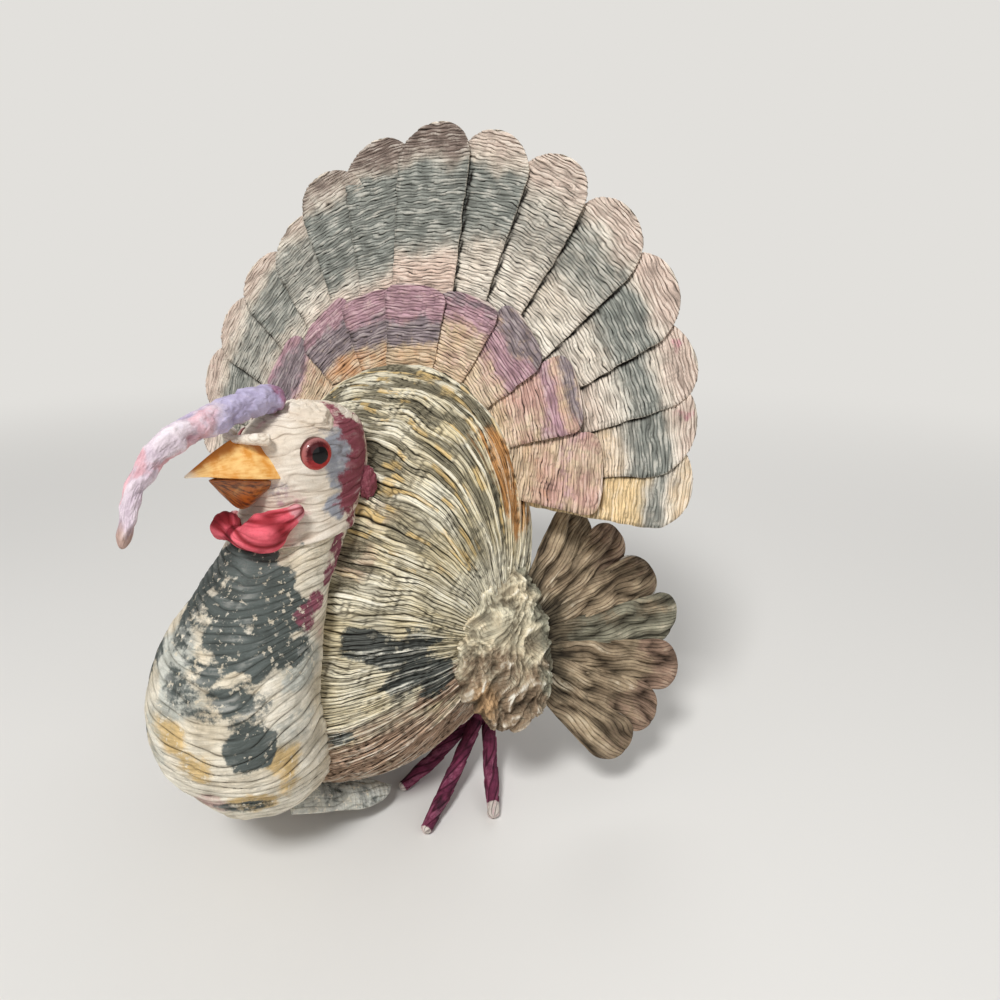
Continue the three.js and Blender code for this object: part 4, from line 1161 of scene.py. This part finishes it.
foot = {
    "ankle": (33, 18, 13.0), "middle": 26, "top": 42.0, "flat": 0.4, "sag": 1.6,
    "legRadius": 3.0, "toeRadius": 2.5, "tipRadius": 1.9, "end": 1.9,
    "hips": {"inner": (30, 16, 15), "middle": (33, 17, 15.5), "outer": (36.5, 19, 14)},
    "tips": {"inner": (20.4, -12), "middle": (39, -24.4), "outer": (54.4, -8.2)},
    "bare": {"inner": 0.3, "middle": 0.3, "outer": 4.0},   # white wire left showing at each tip
    "pitch": 11.0, "seam": 0.3, "crumple": 0.35, "rings": 160, "columns": 56, "around": 20,
}
toeLook = {
    "pale": (132, 56, 86), "deep": (96, 40, 64), "creaseShade": (74, 32, 50), "rubAndHighlight": (172, 104, 128),
    "layers": {"dark": ((70, 38, 52), 0.8, 0.3, 0.8), "white": ((232, 222, 212), 0.6, 0.5, 0.8)},
    "cloudScale": 200, "raggedScale": 900, "streak": (60, 20), "crimp": (90, 30), "speck": 0.0,
    "creaseWidth": 0.4, "creaseShadeDepth": 0.6, "hollowShade": 0.2, "bump": 0.4,
}


def makeWound(name, side, key, knots, thick, thin, bare, seed, lift, finish):
    # wire wound with paper: a seam climbs the tube in a long spiral over fine lengthwise creases
    def relief(share, gone, turn):
        wide = drift(turn * 5 + gone * 0.12, gone / 12, seed, 5)
        return crinkle(wide, drift(turn * 11 + gone * 0.3, gone / 5, seed + 1, 11))

    def radius(share, gone, turn, height):
        wound = (gone / foot["pitch"] + turn) % 1.0
        base = thick + (thin - thick) * ease(0.6, 1, share)
        return base - foot["seam"] * wound ** 2 + foot["crumple"] * (height - 0.6)

    rows, sheet, fields, gone, turn = tubeField(foot, knots, relief, radius, lift)
    rows = rows * [side, 1, 1]
    rows[..., 2] = np.maximum(rows[..., 2], 0)
    end = gone.max() - bare
    fields["white"] = ease(end - 2, end, gone) * (bare > 0)
    fields["dark"] = 0.7 * ease(0.1, 0.7, drift(turn * 3, gone / 14, seed + 3, 3))
    shell(f"{name}_wound_{key}", rows, finish, fields, sheet, [f"{name}_{key}"])


def makeFeet():
    # on each side a straight leg and three toes, each a path that sags below the line from hip to tip
    finish = paperFinish("toePaper", toeLook)
    ax, ay, az = foot["ankle"]
    leg = [(ax, ay, az), (ax, ay, foot["middle"]), (ax, ay, foot["top"])]
    sag = np.array([0, 0, foot["sag"]])
    for name, side in sides.items():
        seed = 180 + side
        makeWound(name, side, "leg", leg, foot["legRadius"], foot["legRadius"], 0, seed, (0, 1, 0), finish)
        for toe, (tx, ty) in foot["tips"].items():
            seed += 5
            hip = np.array(foot["hips"][toe])
            tip = np.array([tx, ty, foot["tipRadius"] - foot["flat"]])
            knots = [hip, hip + (tip - hip) * 0.45 - sag, hip + (tip - hip) * 0.8 - sag / 2, tip]
            makeWound(name, side, "toe_" + toe, knots, foot["toeRadius"], foot["tipRadius"],
                      foot["bare"][toe], seed, (0, 0, 1), finish)


makeFeet()
print("snood, wattle and feet made")

# Beak: two painted halves
beak = {
    "ridge": [(-42.0, 126.2), (-47, 126.5), (-53, 124.7), (-58.5, 122.4), (-62.6, 120.6)],
    "mouth": [(-38, 114.8), (-43, 115.8), (-51, 117.6), (-58, 119.4), (-62.5, 120.0)],
    "half": [8.6, 7.4, 5.0, 2.6, 0.4],
    "lowerTop": [(-38, 114.0), (-42, 114.7), (-48, 116), (-53, 117.2), (-55.6, 117.6)],
    "lowerLow": [(-38.5, 112.6), (-42.6, 109.8), (-46.8, 107.4), (-51.4, 111.8), (-55.4, 116.8)],
    "lowerHalf": [6.4, 6.0, 4.8, 2.6, 0.4],
    "tent": 1.6, "belly": 0.12, "rings": 120, "columns": 96, "sheet": (40, 26), "lowerSheet": (36, 22),
}
beakTones = {
    "pale": (250, 206, 132), "amber": (226, 150, 52), "ridge": (200, 118, 24), "tip": (248, 232, 206),
    "brown": (166, 90, 20), "dark": (82, 40, 10),
}


def beakRows(top, low, half, power):
    # rings between an upper and a lower line: x = w cos a, height by the sine of a, both to a power
    # of 1 or more, which makes the section a tent; the far side of the lower line bulges only a little
    m = beak["rings"]
    upper, gone = roundPath(top, m)
    lower = roundPath(low, m)[0]
    width = np.interp(np.linspace(0, 1, m), np.linspace(0, 1, len(half)), half)[:, None]
    a = fullTurn(beak["columns"])
    rise = bulge(np.sin(a), power)
    share = np.where(rise > 0, rise, rise * beak["belly"])[..., None]
    line = lower[:, None] + (upper - lower)[:, None] * share
    rows = together(width * bulge(np.cos(a), power), line[..., 0], line[..., 1])
    return rows, (gone / gone.max())[:, None], a / (2 * np.pi)


def makeBeak():
    # amber paint, clouded and streaked, darker on the ridge and brown below, worn pale at the tip
    finish, start, shader = newFinish("beakPaint")
    tones = {key: paint(*tone) for key, tone in beakTones.items()}
    cloud = speckle(start, 260, 4.0)
    streak = speckle(start, 1.0, 4.0, (160, 30))
    colour = (cloud * 0.8 + streak * 0.5).between(0.48, 0.84).mix(tones["pale"], tones["amber"])
    ridge = field(start, "ridge") + (cloud - 0.5) * 0.9
    colour = ridge.between(0.4, 0.85).mix(colour, tones["ridge"])
    colour = field(start, "along").between(0.84, 1.0).mix(colour, tones["tip"])
    shade = streak.between(0.4, 0.64).mix(tones["brown"], tones["dark"])
    colour = (field(start, "under") + (cloud - 0.5) * 0.7).between(0.3, 0.9).mix(colour, shade)
    start.feed(shader, {
        "Base Color": colour, "Roughness": 0.28 + 0.2 * streak, "Normal": cloud.bump(0.25, 0.0004),
        "Coat Weight": 0.4, "Coat Roughness": 0.2,
    })
    rows, share, turn = beakRows(beak["ridge"], beak["mouth"], beak["half"], beak["tent"])
    rise = np.clip(np.sin(turn * 2 * np.pi), 0, 1)
    ridge = rise ** 3 + 0.5 * (1 - ease(0, 0.15, share)) * rise
    fields = {"along": share, "under": 0.35 * (turn > 0.5), "ridge": ridge}
    sheet = evenSheet(rows, *beak["sheet"])
    shell("beak_above", rows, finish, fields, sheet, ["upper_beak"])
    rows, share, turn = beakRows(beak["lowerLow"], beak["lowerTop"], beak["lowerHalf"], 1.0)
    fields = {"along": share * 0.6, "under": 0.85}
    sheet = evenSheet(rows, *beak["lowerSheet"])
    shell("beak_below", rows, finish, fields, sheet, ["lower_beak"])


makeBeak()

eye = {
    "place": (12.9, -31.0, 120.5), "radius": 4.5, "dome": 2.6, "back": 2.88, "turn": 18.0,
    "pupil": 0.5, "front": 0.7, "rings": 60, "columns": 72, "sheet": (28, 8),
}
eyeTones = {
    "pupil": (8, 6, 6), "iris": (66, 16, 20), "lit": (168, 38, 40),
    "outer": (158, 104, 102), "outerLit": (188, 60, 56), "rim": (80, 22, 20),
}


def makeEyes():
    # a lathed dome: height falls off as the root of 1 - r^2, then a rolled rim and a short back
    finish, start, shader = newFinish("eyeGlass")
    tones = {key: paint(*tone) for key, tone in eyeTones.items()}
    ring = field(start, "ring")
    bright = field(start, "bright")
    flecks = speckle(start, 1800, 3.0) - 0.5
    iris = (bright + flecks * 0.5).between(0.1, 0.9).mix(tones["iris"], tones["lit"])
    outer = bright.mix(tones["outer"], tones["outerLit"])
    iris = (ring + flecks * 0.2).between(0.74, 0.94).mix(iris, outer)
    colour = (ring + flecks * 0.06).between(eye["pupil"], eye["pupil"] + 0.05).mix(tones["pupil"], iris)
    colour = ring.between(0.965, 1.0).mix(colour, tones["rim"])
    start.feed(shader, {
        "Base Color": colour, "Roughness": 0.1, "Specular IOR Level": 0.2,
        "Coat Weight": 0.2, "Coat Roughness": 0.04,
    })
    t = np.linspace(0, 1, eye["rings"])[:, None]
    front = np.minimum(t / eye["front"], 1) * np.pi / 2
    domed = t < eye["front"]
    r = np.where(domed, np.sin(front) * 0.985 + 0.004, 1 - 0.35 * ease(0.85, 1.0, t)) * eye["radius"]
    depth = np.where(domed, eye["dome"] * np.cos(front), -eye["back"] * ease(eye["front"], 1, t))
    a = fullTurn(eye["columns"])
    gaze = np.radians(eye["turn"])
    outAxis = np.array([np.cos(gaze), -np.sin(gaze), 0])
    sideAxis = np.array([np.sin(gaze), np.cos(gaze), 0])
    local = (r * np.cos(a))[..., None] * sideAxis + (r * np.sin(a))[..., None] * np.array([0, 0, 1])
    local = local + depth[..., None] * outAxis + eye["place"]
    fields = {"ring": r / eye["radius"], "bright": 0.5 - 0.5 * np.sin(a - 0.5)}
    for name, side in sides.items():
        shell(f"{name}_eye_glass", local * [side, 1, 1], finish, fields, evenSheet(local, *eye["sheet"]),
              [f"{name}_eye"])


makeEyes()
print("beak and eyes made")

# Small paper: a rolled lip over the beak, crushed balls on nape and crown, and a tongue under the breast
lip = {
    "knots": [(7.2, -41.0, 125.8), (3.8, -45.2, 126.4), (0, -46.8, 126.4), (-3.8, -45.2, 126.4),
              (-7.2, -41.0, 125.8)],
    "radius": 1.15, "end": 1.15, "rings": 90, "columns": 40, "around": 8, "along": 20,
}
# crushed balls: middle, half sizes, depth, plum paint, seed
balls = {
    "nape_nub": ((12.8, -10.6, 107.0), (2.4, 3.4, 5.0), 0.5, 2.0, 205),
    "crown_tuft": ((3.0, -25.0, 127.8), (9.4, 7.8, 5.4), 0.4, 0.0, 225),
}
ballGrid = {"rings": 90, "columns": 140, "poleGap": 0.03, "sheet": (30, 20)}
tongue = {
    "from": (9, -50, 19.5), "to": (20.5, -17.5, 6.0), "across": (0.8, -0.45, -0.55), "bow": 1.2,
    "root": 0.0, "tipRound": 15.0, "tipPower": 1.5, "rootWidth": 8.0, "tipWidth": 13.0, "thick": 0.7,
    "rings": 70, "columns": 40,
}


def makeLip():
    # a short tube over the root of the beak, thicker at its ends, its radius uneven by creased noise
    def relief(share, gone, turn):
        return crinkle(drift(turn * 4, gone / 2.5, 201, 4), drift(turn * 8, gone, 202, 8))

    def radius(share, gone, turn, height):
        return lip["radius"] * (0.7 + 0.7 * np.abs(2 * share - 1) + 0.3 * height)

    rows, sheet, fields = tubeField(lip, lip["knots"], relief, radius)[:3]
    shell("beak_lip", rows, headFinish, {**fields, "faint": 0.6}, sheet, [])


def makeBall(name, middle, half, depth, plum, seed):
    # an ellipsoid crushed into facets
    lat, turn, ball = globe(ballGrid["rings"], ballGrid["columns"], ballGrid["poleGap"])
    height = 0.6 * crumple(turn * 11, lat * 1.6, seed, 11) + 0.4 * crumple(turn * 22, lat * 4, seed + 1, 22)
    rows = np.array(middle) + ball * (1 + depth * (height - 0.6))[..., None] * np.array(half)
    fields = {"wave": 1, "fine": 1, "crest": 0.3 + 0.6 * height, "plum": plum}
    shell(name, rows, headFinish, fields, evenSheet(rows, *ballGrid["sheet"]), [])


def makeTongue():
    # a pointed strip like a feather, laid from under the breast back towards the leg, folded along it
    first, last, across = (np.array(tongue[key], float) for key in ("from", "to", "across"))
    along = unit(last - first)
    across = unit(across - along * (across @ along))
    x, s, ring, face = featherGrid(tongue, np.linalg.norm(last - first), 210)
    wide = drift((x + drift(x / 6, s / 12, 211)) / 2.6, s / 18, 212)
    height, lines = crinkle(wide, drift(x / 1.3, s / 8, 213))
    z = (height - 0.6) * 0.5 + tongue["bow"] * (1 - ring ** 2) + drift(x / 8, s / 12, 214) * 0.8
    z = z + face * tongue["thick"] / 2
    rows = first + x[..., None] * across + s[..., None] * along + z[..., None] * np.cross(across, along)
    soak = drift(x / 6, s / 9, 215)
    fields = {
        **lines, "faint": 0.6, "crest": 0.5 + 0.5 * height,
        "mist": 0.9 + 0.3 * soak, "slate": 0.42 + 0.3 * soak,
    }
    shell("breast_tongue", rows, breastFinish, fields, cutSheet(x, s), [])


makeLip()
for ballName, ball in balls.items():
    makeBall(ballName, *ball)
makeTongue()
print("small paper made")

# Pieces that stay as solids: two tones, size of the mottling, roughness
stays = {
    "tail_board": ("tailCard", (176, 160, 136), (150, 134, 112), 150, 0.75),
    "body_core": ("whiteFoam", (236, 236, 232), (220, 220, 216), 220, 0.7),
    "neck_wire": ("neckWire", (150, 150, 150), (120, 120, 120), 300, 0.4),
}
for node, (name, first, second, scale, rough) in stays.items():
    finish, start, shader = newFinish(name)
    cloud = speckle(start, scale, 4.0)
    fine = speckle(start, scale * 12, 3.0)
    colour = (cloud * 0.6 + fine * 0.4).between(0.35, 0.7).mix(paint(*first), paint(*second))
    start.feed(shader, {
        "Base Color": colour, "Roughness": rough + 0.15 * fine, "Normal": fine.bump(0.3, 0.0003)})
    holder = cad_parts[node]
    holder.data.materials.clear()
    holder.data.materials.append(finish)
print("card, foam and wire finished")
